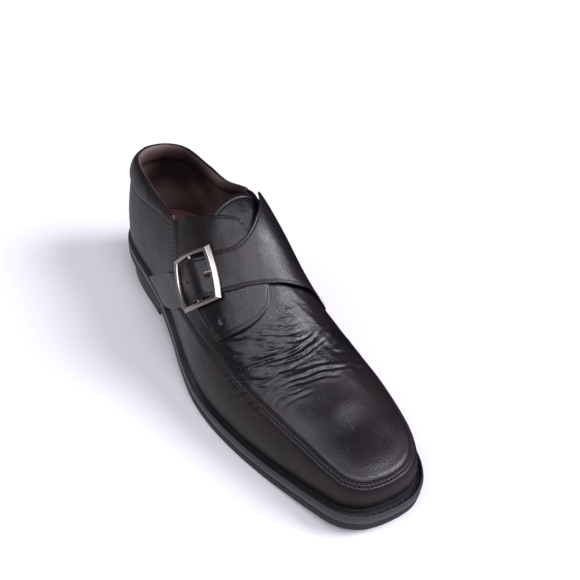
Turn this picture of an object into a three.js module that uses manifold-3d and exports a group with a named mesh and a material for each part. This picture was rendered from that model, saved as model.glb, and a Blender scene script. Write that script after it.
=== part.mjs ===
// A right monk strap shoe with an apron toe. Millimetres, toe along +X, medial side along +Y, up +Z.
// The origin is on the floor under the middle of the shoe; the functions measure x from under the heel.
import * as THREE from "three";
import { mergeVertices } from "three/addons/utils/BufferGeometryUtils.js";
import Module from "manifold-3d";

const wasm = await Module();
wasm.setup();

// Main sizes of the last.
const lastLength = 290;
const ballWidth = 96;
const instepHeight = 104;
const heelLift = 21;

// Sole.
const outsoleThickness = 5.6;
const midsoleThickness = 5;
const weltReach = 5.8;
const heelInset = 2.4;
const heelLength = 76;
const insoleThickness = 3;

// Leather.
const upperWall = 2;
const strapThickness = 1.7;
const facingThickness = 1.3;
const anchorThickness = 1.3;
const tongueThickness = 2.2;
const collarPadding = 2.2;
const collarDepth = 12;
const tabWidth = 13;
const tabLength = 24;
const tabThickness = 1.5;

// Buckle.
const frontBarWidth = 4.2;
const railWidth = 3;
const frameThickness = 2.6;
const frameReach = 11;
const frameBow = 2.6;
const frameCamber = 1.2;
const middleBarRadius = 1;
const prongRadius = 1;
const railClearance = 0.5;

// The gap between pieces that touch.
const fit = 0.35;

// The last, a row for each section from the heel back to the toe tip. along, ridgeAlong: shares of lastLength.
// lateral, medial, axis: shares of ballWidth. ridge: share of instepHeight. lift: share of heelLift.
// welt: share of weltReach. skew: how far the section leans towards the toe on the medial side.
// rise, crownLateral, crownMedial, belly: how high the wall climbs, how flat the top runs on each side, how far
// the wall leans out.
// edgeLateral, edgeMedial: the topline behind the throat and the apron seam before it, as a share of the
// way from the feather line to the ridge.
const sections = [
  { along: 0.0, lateral: 0, medial: 0, axis: 0, ridgeAlong: 0.125, ridge: 1.17, lift: 1, welt: 0.4, skew: 0, pitch: 0, rise: 0.78, crownLateral: 0.5, crownMedial: 0.5, belly: 0.14, edgeLateral: 0.39, edgeMedial: 0.39 },
  { along: 0.008, lateral: 0.122, medial: 0.128, axis: 0, ridgeAlong: 0.125, ridge: 1.17, lift: 1, welt: 0.4, skew: 0, pitch: 0, rise: 0.78, crownLateral: 0.45, crownMedial: 0.45, belly: 0.14, edgeLateral: 0.39, edgeMedial: 0.39 },
  { along: 0.036, lateral: 0.235, medial: 0.243, axis: 0, ridgeAlong: 0.125, ridge: 1.17, lift: 1, welt: 0.4, skew: 0, pitch: 0, rise: 0.76, crownLateral: 0.36, crownMedial: 0.36, belly: 0.12, edgeLateral: 0.395, edgeMedial: 0.395 },
  { along: 0.085, lateral: 0.31, medial: 0.315, axis: 0, ridgeAlong: 0.14, ridge: 1.17, lift: 1, welt: 0.4, skew: 0, pitch: 0, rise: 0.7, crownLateral: 0.24, crownMedial: 0.28, belly: 0.09, edgeLateral: 0.41, edgeMedial: 0.41 },
  { along: 0.15, lateral: 0.35, medial: 0.332, axis: 0.005, ridgeAlong: 0.17, ridge: 1.17, lift: 0.99, welt: 0.4, skew: 0, pitch: 0, rise: 0.67, crownLateral: 0.2, crownMedial: 0.36, belly: 0.07, edgeLateral: 0.41, edgeMedial: 0.41 },
  { along: 0.23, lateral: 0.372, medial: 0.31, axis: 0.015, ridgeAlong: 0.23, ridge: 1.175, lift: 0.94, welt: 0.41, skew: 0, pitch: 0, rise: 0.66, crownLateral: 0.24, crownMedial: 0.58, belly: 0.07, edgeLateral: 0.405, edgeMedial: 0.42 },
  { along: 0.31, lateral: 0.41, medial: 0.275, axis: 0.04, ridgeAlong: 0.31, ridge: 1.175, lift: 0.79, welt: 0.44, skew: 0, pitch: 0, rise: 0.65, crownLateral: 0.32, crownMedial: 0.88, belly: 0.07, edgeLateral: 0.43, edgeMedial: 0.52 },
  { along: 0.39, lateral: 0.464, medial: 0.259, axis: 0.06, ridgeAlong: 0.39, ridge: 1.125, lift: 0.53, welt: 0.49, skew: 0, pitch: 0, rise: 0.62, crownLateral: 0.38, crownMedial: 0.97, belly: 0.06, edgeLateral: 0.62, edgeMedial: 0.71 },
  { along: 0.47, lateral: 0.516, medial: 0.281, axis: 0.065, ridgeAlong: 0.47, ridge: 1.01, lift: 0.24, welt: 0.55, skew: 0, pitch: 0, rise: 0.61, crownLateral: 0.42, crownMedial: 0.92, belly: 0.06, edgeLateral: 0.84, edgeMedial: 0.86 },
  { along: 0.55, lateral: 0.545, medial: 0.335, axis: 0.06, ridgeAlong: 0.55, ridge: 0.845, lift: 0.06, welt: 0.6, skew: 0, pitch: 0, rise: 0.63, crownLateral: 0.5, crownMedial: 0.78, belly: 0.06, edgeLateral: 0.72, edgeMedial: 0.72 },
  { along: 0.63, lateral: 0.535, medial: 0.392, axis: 0.055, ridgeAlong: 0.63, ridge: 0.695, lift: 0, welt: 0.64, skew: 0, pitch: -0.2, rise: 0.68, crownLateral: 0.58, crownMedial: 0.68, belly: 0.06, edgeLateral: 0.56, edgeMedial: 0.56 },
  { along: 0.71, lateral: 0.493, medial: 0.429, axis: 0.05, ridgeAlong: 0.705, ridge: 0.585, lift: 0, welt: 0.67, skew: 0, pitch: -0.2, rise: 0.74, crownLateral: 0.64, crownMedial: 0.66, belly: 0.05, edgeLateral: 0.48, edgeMedial: 0.48 },
  { along: 0.79, lateral: 0.431, medial: 0.437, axis: 0.045, ridgeAlong: 0.775, ridge: 0.515, lift: 0.03, welt: 0.72, skew: 0.02, pitch: -0.2, rise: 0.78, crownLateral: 0.68, crownMedial: 0.68, belly: 0.05, edgeLateral: 0.45, edgeMedial: 0.45 },
  { along: 0.865, lateral: 0.364, medial: 0.402, axis: 0.042, ridgeAlong: 0.83, ridge: 0.47, lift: 0.12, welt: 0.8, skew: 0.05, pitch: -0.2, rise: 0.82, crownLateral: 0.7, crownMedial: 0.7, belly: 0.05, edgeLateral: 0.44, edgeMedial: 0.44 },
  { along: 0.925, lateral: 0.314, medial: 0.34, axis: 0.046, ridgeAlong: 0.86, ridge: 0.445, lift: 0.23, welt: 0.89, skew: 0.08, pitch: -0.2, rise: 0.84, crownLateral: 0.72, crownMedial: 0.72, belly: 0.05, edgeLateral: 0.44, edgeMedial: 0.44 },
  { along: 0.968, lateral: 0.264, medial: 0.252, axis: 0.046, ridgeAlong: 0.87, ridge: 0.435, lift: 0.32, welt: 0.96, skew: 0.1, pitch: -0.2, rise: 0.85, crownLateral: 0.72, crownMedial: 0.72, belly: 0.05, edgeLateral: 0.44, edgeMedial: 0.44 },
  { along: 0.991, lateral: 0.178, medial: 0.16, axis: 0.04, ridgeAlong: 0.87, ridge: 0.435, lift: 0.37, welt: 1, skew: 0.1, pitch: -0.2, rise: 0.85, crownLateral: 0.72, crownMedial: 0.72, belly: 0.05, edgeLateral: 0.44, edgeMedial: 0.44 },
  { along: 0.9985, lateral: 0.088, medial: 0.078, axis: 0.034, ridgeAlong: 0.87, ridge: 0.435, lift: 0.385, welt: 1, skew: 0.1, pitch: -0.2, rise: 0.85, crownLateral: 0.72, crownMedial: 0.72, belly: 0.05, edgeLateral: 0.44, edgeMedial: 0.44 },
  { along: 1.0, lateral: 0, medial: 0, axis: 0.032, ridgeAlong: 0.87, ridge: 0.435, lift: 0.39, welt: 1, skew: 0.1, pitch: -0.2, rise: 0.85, crownLateral: 0.72, crownMedial: 0.72, belly: 0.05, edgeLateral: 0.44, edgeMedial: 0.44 },
];
const lastSection = sections.length - 1;
const mirroredColumns = ["lateral", "medial"];

// Places along the last, as shares of lastLength.
const heelMiddle = 0.115;
const throatAlong = 0.5;
const collarFrontLateral = 0.3;
const collarFrontMedial = 0.335;

// How many stations and rows the meshes have.
const stations = 40;
const sideRows = 8;
const topRows = 4;

// Each leather piece on the upper has a row for each place along it, with its back and its front corner. Along is
// a share of lastLength; wrap runs from -1 at the lateral feather line over 0 at the ridge to 1 at the medial one.

// The strap from its medial root over the instep to its lateral end. over: 1 where it lies on the facing.
const strapRows = [
  { backAlong: 0.5, backWrap: 0.56, frontAlong: 0.612, frontWrap: 0.54, over: 0 },
  { backAlong: 0.445, backWrap: 0.46, frontAlong: 0.605, frontWrap: 0.45, over: 0 },
  { backAlong: 0.398, backWrap: 0.355, frontAlong: 0.598, frontWrap: 0.36, over: 0.3 },
  { backAlong: 0.388, backWrap: 0.265, frontAlong: 0.594, frontWrap: 0.27, over: 0.8 },
  { backAlong: 0.425, backWrap: 0.135, frontAlong: 0.589, frontWrap: 0.165, over: 1 },
  { backAlong: 0.459, backWrap: 0.01, frontAlong: 0.58, frontWrap: 0.055, over: 1 },
  { backAlong: 0.479, backWrap: -0.12, frontAlong: 0.569, frontWrap: -0.075, over: 1 },
  { backAlong: 0.481, backWrap: -0.235, frontAlong: 0.557, frontWrap: -0.195, over: 1 },
  { backAlong: 0.468, backWrap: -0.335, frontAlong: 0.546, frontWrap: -0.305, over: 1 },
  { backAlong: 0.452, backWrap: -0.43, frontAlong: 0.53, frontWrap: -0.415, over: 1 },
  { backAlong: 0.431, backWrap: -0.53, frontAlong: 0.511, frontWrap: -0.53, over: 1 },
  { backAlong: 0.409, backWrap: -0.63, frontAlong: 0.489, frontWrap: -0.645, over: 1 },
  { backAlong: 0.398, backWrap: -0.68, frontAlong: 0.477, frontWrap: -0.705, over: 1 },
];

// The lateral facing from its lower edge above the apron seam to its tip under the strap.
const facingRows = [
  { backAlong: 0.4, backWrap: -0.7, frontAlong: 0.586, frontWrap: -0.567 },
  { backAlong: 0.385, backWrap: -0.64, frontAlong: 0.6, frontWrap: -0.47 },
  { backAlong: 0.368, backWrap: -0.585, frontAlong: 0.61, frontWrap: -0.37 },
  { backAlong: 0.352, backWrap: -0.545, frontAlong: 0.613, frontWrap: -0.28 },
  { backAlong: 0.343, backWrap: -0.485, frontAlong: 0.609, frontWrap: -0.195 },
  { backAlong: 0.376, backWrap: -0.4, frontAlong: 0.598, frontWrap: -0.13 },
  { backAlong: 0.405, backWrap: -0.297, frontAlong: 0.572, frontWrap: -0.092 },
  { backAlong: 0.43, backWrap: -0.18, frontAlong: 0.532, frontWrap: -0.08 },
  { backAlong: 0.449, backWrap: -0.11, frontAlong: 0.478, frontWrap: -0.09 },
];

// The band that anchors the buckle, from the feather line up to the middle bar.
const anchorRows = [
  { backAlong: 0.245, backWrap: -0.985, frontAlong: 0.335, frontWrap: -0.99 },
  { backAlong: 0.3, backWrap: -0.89, frontAlong: 0.396, frontWrap: -0.885 },
  { backAlong: 0.352, backWrap: -0.79, frontAlong: 0.45, frontWrap: -0.755 },
  { backAlong: 0.4, backWrap: -0.69, frontAlong: 0.48, frontWrap: -0.66 },
  { backAlong: 0.434, backWrap: -0.59, frontAlong: 0.5, frontWrap: -0.57 },
];

// The tongue from under the vamp to its rounded top.
const tongueRows = [
  { along: 0.58, lateral: 0.34, medial: 0.3 },
  { along: 0.52, lateral: 0.38, medial: 0.32 },
  { along: 0.46, lateral: 0.42, medial: 0.33 },
  { along: 0.42, lateral: 0.42, medial: 0.32 },
  { along: 0.4, lateral: 0.36, medial: 0.26 },
  { along: 0.394, lateral: 0.26, medial: 0.16 },
];

// Uniform Catmull-Rom interpolation of one column of a table, t from 0 to 1 over its rows.
function splineColumn(rows, name, t, end = "free") {
  const last = rows.length - 1;
  const at = THREE.MathUtils.clamp(t, 0, 1) * last;
  const i = Math.min(Math.floor(at), last - 1);
  const value = (k) => {
    const inside = k < 0 ? -k : k > last ? 2 * last - k : k;
    if (inside === k) return rows[k][name];
    if (end === "even") return rows[inside][name];
    if (end === "odd") return -rows[inside][name];
    return 2 * rows[k < 0 ? 0 : last][name] - rows[inside][name];
  };
  const [a, b, c, d] = [value(i - 1), value(i), value(i + 1), value(i + 2)];
  const f = at - i;
  return b + 0.5 * f * (c - a + f * (2 * a - 5 * b + 4 * c - d + f * (3 * (b - c) + d - a)));
}

function section(name, s) {
  return splineColumn(sections, name, s, mirroredColumns.includes(name) ? "odd" : "even");
}

// The station whose section stands at a share of the last's length.
function stationAt(along) {
  let low = 0;
  let high = 1;
  for (let step = 0; step < 40; step++) {
    const middle = (low + high) / 2;
    if (section("along", middle) < along) low = middle;
    else high = middle;
  }
  return (low + high) / 2;
}

// The sole's underside above the floor.
function underside(s) {
  return Math.max(0, section("lift", s)) * heelLift;
}

// The height of the feather line, where the upper meets the midsole.
function bed(s) {
  return underside(s) + outsoleThickness + fit + midsoleThickness + fit;
}

function featherPoint(s, side) {
  const half = section(side < 0 ? "lateral" : "medial", s) * ballWidth;
  const x = (section("along", s) - heelMiddle) * lastLength + section("skew", s) * side * half;
  return new THREE.Vector3(x, section("axis", s) * ballWidth + side * half, bed(s));
}

function ridgePoint(s) {
  const x = (section("ridgeAlong", s) - heelMiddle) * lastLength;
  return new THREE.Vector3(x, section("axis", s) * ballWidth, section("ridge", s) * instepHeight);
}

// The upper's outer surface. s runs from the heel back to the toe tip; wrap from the lateral feather line at -1
// over the ridge at 0 to the medial feather line at 1. Each side is one cubic curve.
function lastPoint(s, wrap) {
  const side = wrap < 0 ? -1 : 1;
  const foot = featherPoint(s, side);
  const ridge = ridgePoint(s);
  const out = new THREE.Vector2(foot.x - ridge.x, foot.y - ridge.y);
  const width = out.length();
  const height = ridge.z - foot.z;
  out.normalize();
  const crownReach = width * section(side < 0 ? "crownLateral" : "crownMedial", s);
  const crownDrop = section("pitch", s) * crownReach * out.x;
  const curve = new THREE.CubicBezierCurve(
    new THREE.Vector2(width, foot.z),
    new THREE.Vector2(width * (1 + section("belly", s)), foot.z + section("rise", s) * height),
    new THREE.Vector2(crownReach, ridge.z + crownDrop),
    new THREE.Vector2(0, ridge.z),
  );
  const point = curve.getPoint(1 - Math.abs(wrap));
  return new THREE.Vector3(ridge.x + out.x * point.x, ridge.y + out.y * point.x, point.y);
}

// The outward normal, averaged where two sides of the surface meet.
function lastNormal(s, wrap) {
  const step = 0.004;
  const inner = THREE.MathUtils.clamp(s, step, 1 - step);
  const wraps = inner !== s ? [wrap, -wrap] : Math.abs(wrap) < step ? [-2 * step, 2 * step] : [wrap];
  const total = new THREE.Vector3();
  for (const w of wraps) {
    const low = w < 0 ? Math.max(-1, w - step) : Math.max(0, w - step);
    const high = w < 0 ? Math.min(-1e-6, w + step) : Math.min(1, w + step);
    const alongS = lastPoint(inner + step / 2, w).sub(lastPoint(inner - step / 2, w));
    const alongWrap = lastPoint(inner, high).sub(lastPoint(inner, low));
    total.add(alongS.cross(alongWrap).normalize());
  }
  return total.normalize();
}

function offsetPoint(s, wrap, distance) {
  return lastPoint(s, wrap).addScaledVector(lastNormal(s, wrap), distance);
}

// A point of the sole's outline, the feather line moved outwards in plan.
function outlinePoint(s, side, reach) {
  const step = 0.002;
  const before = featherPoint(Math.max(0, s - step), side);
  const after = featherPoint(Math.min(1, s + step), side);
  const length = Math.hypot(after.x - before.x, after.y - before.y);
  const foot = featherPoint(s, side);
  foot.x -= (side * (after.y - before.y) * reach) / length;
  foot.y += (side * (after.x - before.x) * reach) / length;
  return foot;
}

// A closed geometry from points and triangles, facing out, without the triangles that have collapsed.
function closedGeometry(points, triangles) {
  const loose = new THREE.BufferGeometry().setFromPoints(points);
  loose.setIndex(triangles);
  const merged = mergeVertices(loose, 1e-3);
  const index = [];
  const vertices = merged.getAttribute("position");
  const [a, b, c] = [new THREE.Vector3(), new THREE.Vector3(), new THREE.Vector3()];
  let volume = 0;
  for (let i = 0; i < merged.index.count; i += 3) {
    const corners = [0, 1, 2].map((k) => merged.index.getX(i + k));
    if (new Set(corners).size < 3) continue;
    index.push(...corners);
    [a, b, c].forEach((corner, k) => corner.fromBufferAttribute(vertices, corners[k]));
    volume += a.dot(b.cross(c));
  }
  if (volume < 0) index.reverse();
  merged.setIndex(index);
  return merged;
}

// A sheet with a thickness: each point is an outer and an inner place, each cell four point numbers.
// An edge that only one cell has gets a wall.
function thickSheet(sheetPoints, cells) {
  const points = sheetPoints.flatMap(({ outer, inner }) => [outer, inner]);
  const triangles = [];
  const quad = (a, b, c, d) => triangles.push(a, b, c, a, c, d);
  const open = new Map();
  for (const cell of cells) {
    const [a, b, c, d] = cell;
    quad(2 * a, 2 * b, 2 * c, 2 * d);
    quad(2 * d + 1, 2 * c + 1, 2 * b + 1, 2 * a + 1);
    cell.forEach((from, k) => {
      const to = cell[(k + 1) % 4];
      if (from === to) return;
      if (open.has(`${to} ${from}`)) open.delete(`${to} ${from}`);
      else open.set(`${from} ${to}`, [from, to]);
    });
  }
  for (const [from, to] of open.values()) quad(2 * to, 2 * from, 2 * from + 1, 2 * to + 1);
  return closedGeometry(points, triangles);
}

// A sheet over a grid of rows and columns.
function gridSheet(rows, columns, place) {
  const points = [];
  const cells = [];
  for (let i = 0; i <= rows; i++) for (let j = 0; j <= columns; j++) points.push(place(i / rows, j / columns));
  const at = (i, j) => i * (columns + 1) + j;
  for (let i = 0; i < rows; i++)
    for (let j = 0; j < columns; j++) cells.push([at(i, j), at(i, j + 1), at(i + 1, j + 1), at(i + 1, j)]);
  return thickSheet(points, cells);
}

// A solid through closed loops of points, capped where the first or last loop is open.
function loopLoft(loops) {
  const count = loops[0].length;
  const triangles = [];
  for (let k = 0; k + 1 < loops.length; k++)
    for (let i = 0; i < count; i++) {
      const [a, b] = [k * count + i, k * count + ((i + 1) % count)];
      triangles.push(a, b, b + count, a, b + count, a + count);
    }
  const end = (loops.length - 1) * count;
  for (let i = 1; i + 1 < count; i++) {
    triangles.push(0, i + 1, i);
    triangles.push(end, end + i, end + i + 1);
  }
  return closedGeometry(loops.flat(), triangles);
}

// A sole layer: edge rows give the reach beyond the feather line and the height above the layer's underside.
function soleLayer(edge, bottom, stationList) {
  const loops = stationList.map((s) => {
    const sideEdge = (side) =>
      edge(s).map(({ reach, height }) => outlinePoint(s, side, reach).setZ(bottom(s) + height));
    const lateral = sideEdge(-1);
    const closed = s === 0 || s === 1;
    const medial = closed ? lateral.map((point) => point.clone()) : sideEdge(1);
    return [...lateral, ...medial.reverse()];
  });
  return loopLoft(loops);
}

const stationList = Array.from({ length: stations + 1 }, (_, k) => k / stations);

// The outsole's rounded side and flat tread.
function outsoleGeometry() {
  const sideRound = [
    { reach: 0.76, height: 0 },
    { reach: 0.95, height: 0.16 },
    { reach: 1, height: 0.5 },
    { reach: 0.96, height: 0.84 },
    { reach: 0.84, height: 1 },
  ];
  const edge = (s) =>
    sideRound.map(({ reach, height }) => ({
      reach: reach * section("welt", s) * weltReach,
      height: height * outsoleThickness,
    }));
  return soleLayer(edge, underside, stationList);
}

// The midsole with the raised bead that runs round beside the upper.
function midsoleGeometry() {
  const sideBead = [
    { reach: 0.84, height: 0 },
    { reach: 0.97, height: 0.14 },
    { reach: 1, height: 0.45 },
    { reach: 0.94, height: 0.8 },
    { reach: 0.74, height: 0.98 },
    { reach: 0.66, height: 1.16 },
    { reach: 0.5, height: 1.16 },
    { reach: 0.42, height: 1 },
  ];
  const edge = (s) =>
    sideBead.map(({ reach, height }) => ({
      reach: reach * section("welt", s) * weltReach,
      height: height * midsoleThickness,
    }));
  return soleLayer(edge, (s) => underside(s) + outsoleThickness + fit, stationList);
}

// The heel block under the outsole, with a slightly hollow breast.
function heelGeometry() {
  const heelStations = 14;
  const breast = stationAt(heelLength / lastLength);
  const sideTaper = [
    { inset: 2, height: 0 },
    { inset: 1.5, height: 0.06 },
    { inset: 1.3, height: 0.4 },
    { inset: 1, height: 1 },
  ];
  const edge = (s) =>
    sideTaper.map(({ inset, height }) => ({
      reach: section("welt", s) * weltReach - inset * heelInset,
      height: height * (underside(s) - fit),
    }));
  const list = Array.from({ length: heelStations + 1 }, (_, k) => (k / heelStations) * breast);
  return soleLayer(edge, () => 0, list);
}

// The insole lies on the midsole inside the upper's wall.
function insoleGeometry() {
  const inset = upperWall + 2 * fit;
  const edge = () => [
    { reach: -inset, height: fit },
    { reach: -inset, height: fit + insoleThickness * 0.7 },
    { reach: -inset - insoleThickness * 0.5, height: fit + insoleThickness },
  ];
  return soleLayer(edge, bed, stationList);
}

// The upper: one wall from the feather line to the topline, closed over the toe in front of the throat.
function upperGeometry() {
  const throat = Math.round(stationAt(throatAlong) * stations);
  const around = 2 * stations;
  const numbers = new Map();
  const points = [];
  const cells = [];
  const stationOf = (j) => (j <= stations ? j : around - j);
  const pointNumber = (j, i) => {
    const column = (j + around) % around;
    const k = stationOf(column);
    const ridge = i === sideRows + topRows;
    const poleSection = section("ridgeAlong", k / stations).toFixed(3);
    const key = ridge ? `ridge ${k > stations * 0.8 ? poleSection : k}` : `${column} ${i}`;
    if (!numbers.has(key)) {
      const s = k / stations;
      const side = column <= stations ? -1 : 1;
      const edge = section(side < 0 ? "edgeLateral" : "edgeMedial", s);
      const rise = i <= sideRows ? (edge * i) / sideRows : edge + ((1 - edge) * (i - sideRows)) / topRows;
      const wrap = side * (1 - rise);
      numbers.set(key, points.length);
      points.push({ outer: lastPoint(s, wrap), inner: offsetPoint(s, wrap, -upperWall) });
    }
    return numbers.get(key);
  };
  for (let j = 0; j < around; j++) {
    const front = Math.min(stationOf(j), stationOf((j + 1) % around)) >= throat;
    const rows = front ? sideRows + topRows : sideRows;
    for (let i = 0; i < rows; i++)
      cells.push([pointNumber(j, i), pointNumber(j + 1, i), pointNumber(j + 1, i + 1), pointNumber(j, i + 1)]);
  }
  return thickSheet(points, cells);
}

// A place on a leather piece: t from its first row to its last, across from its back edge to its front edge.
function bandPoint(rows, t, across, height) {
  const column = (name) => splineColumn(rows, name, t);
  const along = THREE.MathUtils.lerp(column("backAlong"), column("frontAlong"), across);
  const wrap = THREE.MathUtils.lerp(column("backWrap"), column("frontWrap"), across);
  return offsetPoint(stationAt(along), wrap, height);
}

function bandGeometry(rows, lengthSteps, widthSteps, stand, thickness) {
  return gridSheet(lengthSteps, widthSteps, (t, across) => ({
    outer: bandPoint(rows, t, across, stand(t) + thickness),
    inner: bandPoint(rows, t, across, stand(t)),
  }));
}

const facingStand = fit;
const overFacing = facingStand + facingThickness + fit;

// Where the buckle's middle bar crosses the strap, as a share of the strap's rows.
const buckleAt = 0.84;

// The strap's share for one millimetre along it, and its width, both at the buckle.
const nextShare = bandPoint(strapRows, buckleAt - 0.01, 0.5, 0);
const strapUnit = 0.01 / bandPoint(strapRows, buckleAt, 0.5, 0).distanceTo(nextShare);
const strapWidth = bandPoint(strapRows, buckleAt, 0, 4).distanceTo(bandPoint(strapRows, buckleAt, 1, 4));

// The strap's height over the upper: it climbs over the facing, the anchor band and the middle bar.
function strapStand(t) {
  const layers = THREE.MathUtils.clamp(splineColumn(strapRows, "over", t), 0, 1);
  const past = (t - buckleAt) / strapUnit;
  const anchorClimb = (anchorThickness + fit) * THREE.MathUtils.smoothstep(past, -12, -4);
  const barClimb = (2 * middleBarRadius + 2 * fit) * Math.exp(-((past / (past < 0 ? 8 : 6)) ** 2));
  return THREE.MathUtils.lerp(fit, overFacing, layers) + anchorClimb + barClimb;
}

const middleBarHeight = overFacing + anchorThickness + fit + middleBarRadius;

// A place at the buckle over the curved upper: x along the strap from the middle bar towards the instep, y across.
function strapPlace(x, y, height) {
  return bandPoint(strapRows, buckleAt - x * strapUnit, 0.5 + y / strapWidth, height);
}

// The frame's own straight axes.
const frameCentre = strapPlace(0, 0, 0);
const frameX = strapPlace(frameReach, 0, 0).sub(strapPlace(-frameReach, 0, 0)).normalize();
const frameZ = frameX.clone().cross(strapPlace(0, strapWidth / 2, 0).sub(strapPlace(0, -strapWidth / 2, 0)));
if (frameZ.z < 0) frameZ.negate();
frameZ.normalize();
const frameY = frameZ.clone().cross(frameX);

// How high the strap's outside comes under a bar, measured along the frame's own upward axis.
function strapTop(x0, x1) {
  let highest = -Infinity;
  for (let i = 0; i <= 4; i++)
    for (let j = 0; j <= 4; j++) {
      const x = THREE.MathUtils.lerp(x0, x1, i / 4);
      const stand = strapStand(buckleAt - x * strapUnit) + strapThickness;
      const top = strapPlace(x, (j / 4 - 0.5) * strapWidth, stand);
      highest = Math.max(highest, top.sub(frameCentre).dot(frameZ));
    }
  return highest;
}
const frontHeight = strapTop(frameReach, frameReach + frontBarWidth) + fit;
const backHeight = strapTop(-frameReach - railWidth - frameBow, -frameReach) + fit;

// A place on the frame: its underside runs from the back bar to the front bar with a camber between them.
function framePlace(x, y, z) {
  const share = (x / frameReach + 1) / 2;
  const height = THREE.MathUtils.lerp(backHeight, frontHeight, share) + frameCamber * 4 * share * (1 - share);
  return frameCentre.clone().addScaledVector(frameX, x).addScaledVector(frameY, y).addScaledVector(frameZ, height + z);
}

// Half of the frame's opening across the strap.
const railInside = strapWidth / 2 + railClearance;

// The outline of the frame or of its opening. The back bar bows outwards, the rails and the front bar a little.
function frameOutline(front, back, half) {
  const steps = 8;
  const corners = [
    [front, -half, frameBow * 0.4, 0],
    [front, half, 0, frameBow * 0.2],
    [-back, half, -frameBow, 0],
    [-back, -half, 0, -frameBow * 0.2],
  ];
  return corners.flatMap(([x, y, bulgeX, bulgeY], k) => {
    const [nextX, nextY] = corners[(k + 1) % corners.length];
    return Array.from({ length: steps }, (_, i) => {
      const arc = (4 * i * (steps - i)) / steps ** 2;
      return new THREE.Vector2(
        THREE.MathUtils.lerp(x, nextX, i / steps) + arc * bulgeX,
        THREE.MathUtils.lerp(y, nextY, i / steps) + arc * bulgeY,
      );
    });
  });
}

function tubeAlong(stops, radius, steps) {
  const circle = new THREE.Shape().absarc(0, 0, radius, 0, 2 * Math.PI);
  const extrudePath = new THREE.CatmullRomCurve3(stops, false, "centripetal");
  return new THREE.ExtrudeGeometry(circle, { extrudePath, steps, curveSegments: 5, bevelEnabled: false });
}

// The buckle's frame with the middle bar that dips under the strap.
function buckleFrameGeometry() {
  const railMiddle = railInside + railWidth / 2;
  const shape = new THREE.Shape(
    frameOutline(frameReach + frontBarWidth, frameReach + railWidth, railInside + railWidth),
  );
  shape.holes.push(new THREE.Path(frameOutline(frameReach, frameReach, railInside)));
  const flat = new THREE.ExtrudeGeometry(shape, { depth: frameThickness, bevelEnabled: false, steps: 1 });
  const vertices = flat.getAttribute("position");
  for (let k = 0; k < vertices.count; k++) {
    const place = framePlace(vertices.getX(k), vertices.getY(k), vertices.getZ(k));
    vertices.setXYZ(k, place.x, place.y, place.z);
  }
  const middle = [-0.5, -0.25, 0, 0.25, 0.5].map((share) => strapPlace(0, share * strapWidth, middleBarHeight));
  const end = (side) => [
    framePlace(0, side * railMiddle, frameThickness / 2),
    framePlace(0, side * railMiddle, -frameThickness / 2),
    strapPlace(0, side * railMiddle, middleBarHeight + 0.6),
  ];
  const bar = tubeAlong([...end(-1), ...middle, ...end(1).reverse()], middleBarRadius, 28);
  return geometryOf(solidOf(flat).add(solidOf(bar)));
}

// The prong: under the strap from the middle bar, up through the hole and over the front bar.
function prongTube(radius, start) {
  const rest = frameThickness + prongRadius + fit;
  return tubeAlong(
    [
      strapPlace(start, 0, middleBarHeight),
      strapPlace(start + 2, 0, middleBarHeight - 0.6),
      strapPlace(frameReach - 5.2, 0, middleBarHeight - 1),
      framePlace(frameReach - 2.4, 0, frameThickness * 0.4),
      framePlace(frameReach, 0, rest),
      framePlace(frameReach + frontBarWidth * 0.45, 0, rest),
      framePlace(frameReach + frontBarWidth * 0.9, 0, rest),
    ],
    radius,
    22,
  );
}

function solidOf(geometry) {
  const bare = geometry.clone();
  bare.deleteAttribute("normal");
  bare.deleteAttribute("uv");
  const merged = mergeVertices(bare, 1e-4);
  const solid = new wasm.Manifold(
    new wasm.Mesh({
      numProp: 3,
      vertProperties: new Float32Array(merged.getAttribute("position").array),
      triVerts: new Uint32Array(merged.index.array),
    }),
  );
  if (solid.volume() > 0) return solid;
  merged.index.array.reverse();
  return new wasm.Manifold(
    new wasm.Mesh({
      numProp: 3,
      vertProperties: new Float32Array(merged.getAttribute("position").array),
      triVerts: new Uint32Array(merged.index.array),
    }),
  );
}

function geometryOf(solid) {
  const mesh = solid.getMesh();
  const geometry = new THREE.BufferGeometry();
  geometry.setAttribute("position", new THREE.BufferAttribute(mesh.vertProperties, 3));
  geometry.setIndex(new THREE.BufferAttribute(mesh.triVerts, 1));
  return geometry;
}

// The strap with the hole that the prong comes up through.
function strapGeometry() {
  const sheet = bandGeometry(strapRows, 44, 8, strapStand, strapThickness);
  return geometryOf(solidOf(sheet).subtract(solidOf(prongTube(prongRadius + fit, middleBarRadius))));
}

// The anchor band steps up from the upper onto the facing.
function anchorStand(t) {
  return THREE.MathUtils.lerp(fit, overFacing, THREE.MathUtils.smoothstep(t, 0.42, 0.72));
}

// The tongue lies inside the throat, under the vamp's edge.
function tongueGeometry() {
  const stand = -upperWall - 3 * fit - tongueThickness;
  return gridSheet(14, 10, (t, across) => {
    const s = stationAt(splineColumn(tongueRows, "along", t));
    const lateral = -splineColumn(tongueRows, "lateral", t);
    const wrap = THREE.MathUtils.lerp(lateral, splineColumn(tongueRows, "medial", t), across);
    return { outer: offsetPoint(s, wrap, stand + tongueThickness), inner: offsetPoint(s, wrap, stand) };
  });
}

// A place beside the topline: p runs from -1 on the lateral side over 0 at the heel back to 1 on the medial
// side, as a share of the collar; down is the distance below the topline and out the distance off the wall.
function toplinePoint(p, down, out) {
  const side = p < 0 ? -1 : 1;
  const front = stationAt(side < 0 ? collarFrontLateral : collarFrontMedial);
  const s = Math.abs(p) * front;
  const edge = section(side < 0 ? "edgeLateral" : "edgeMedial", s);
  const step = 0.02;
  const perShare = lastPoint(s, side * (1 - edge)).distanceTo(lastPoint(s, side * (1 - edge + step))) / step;
  return offsetPoint(s, side * (1 - edge + down / perShare), out);
}

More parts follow.
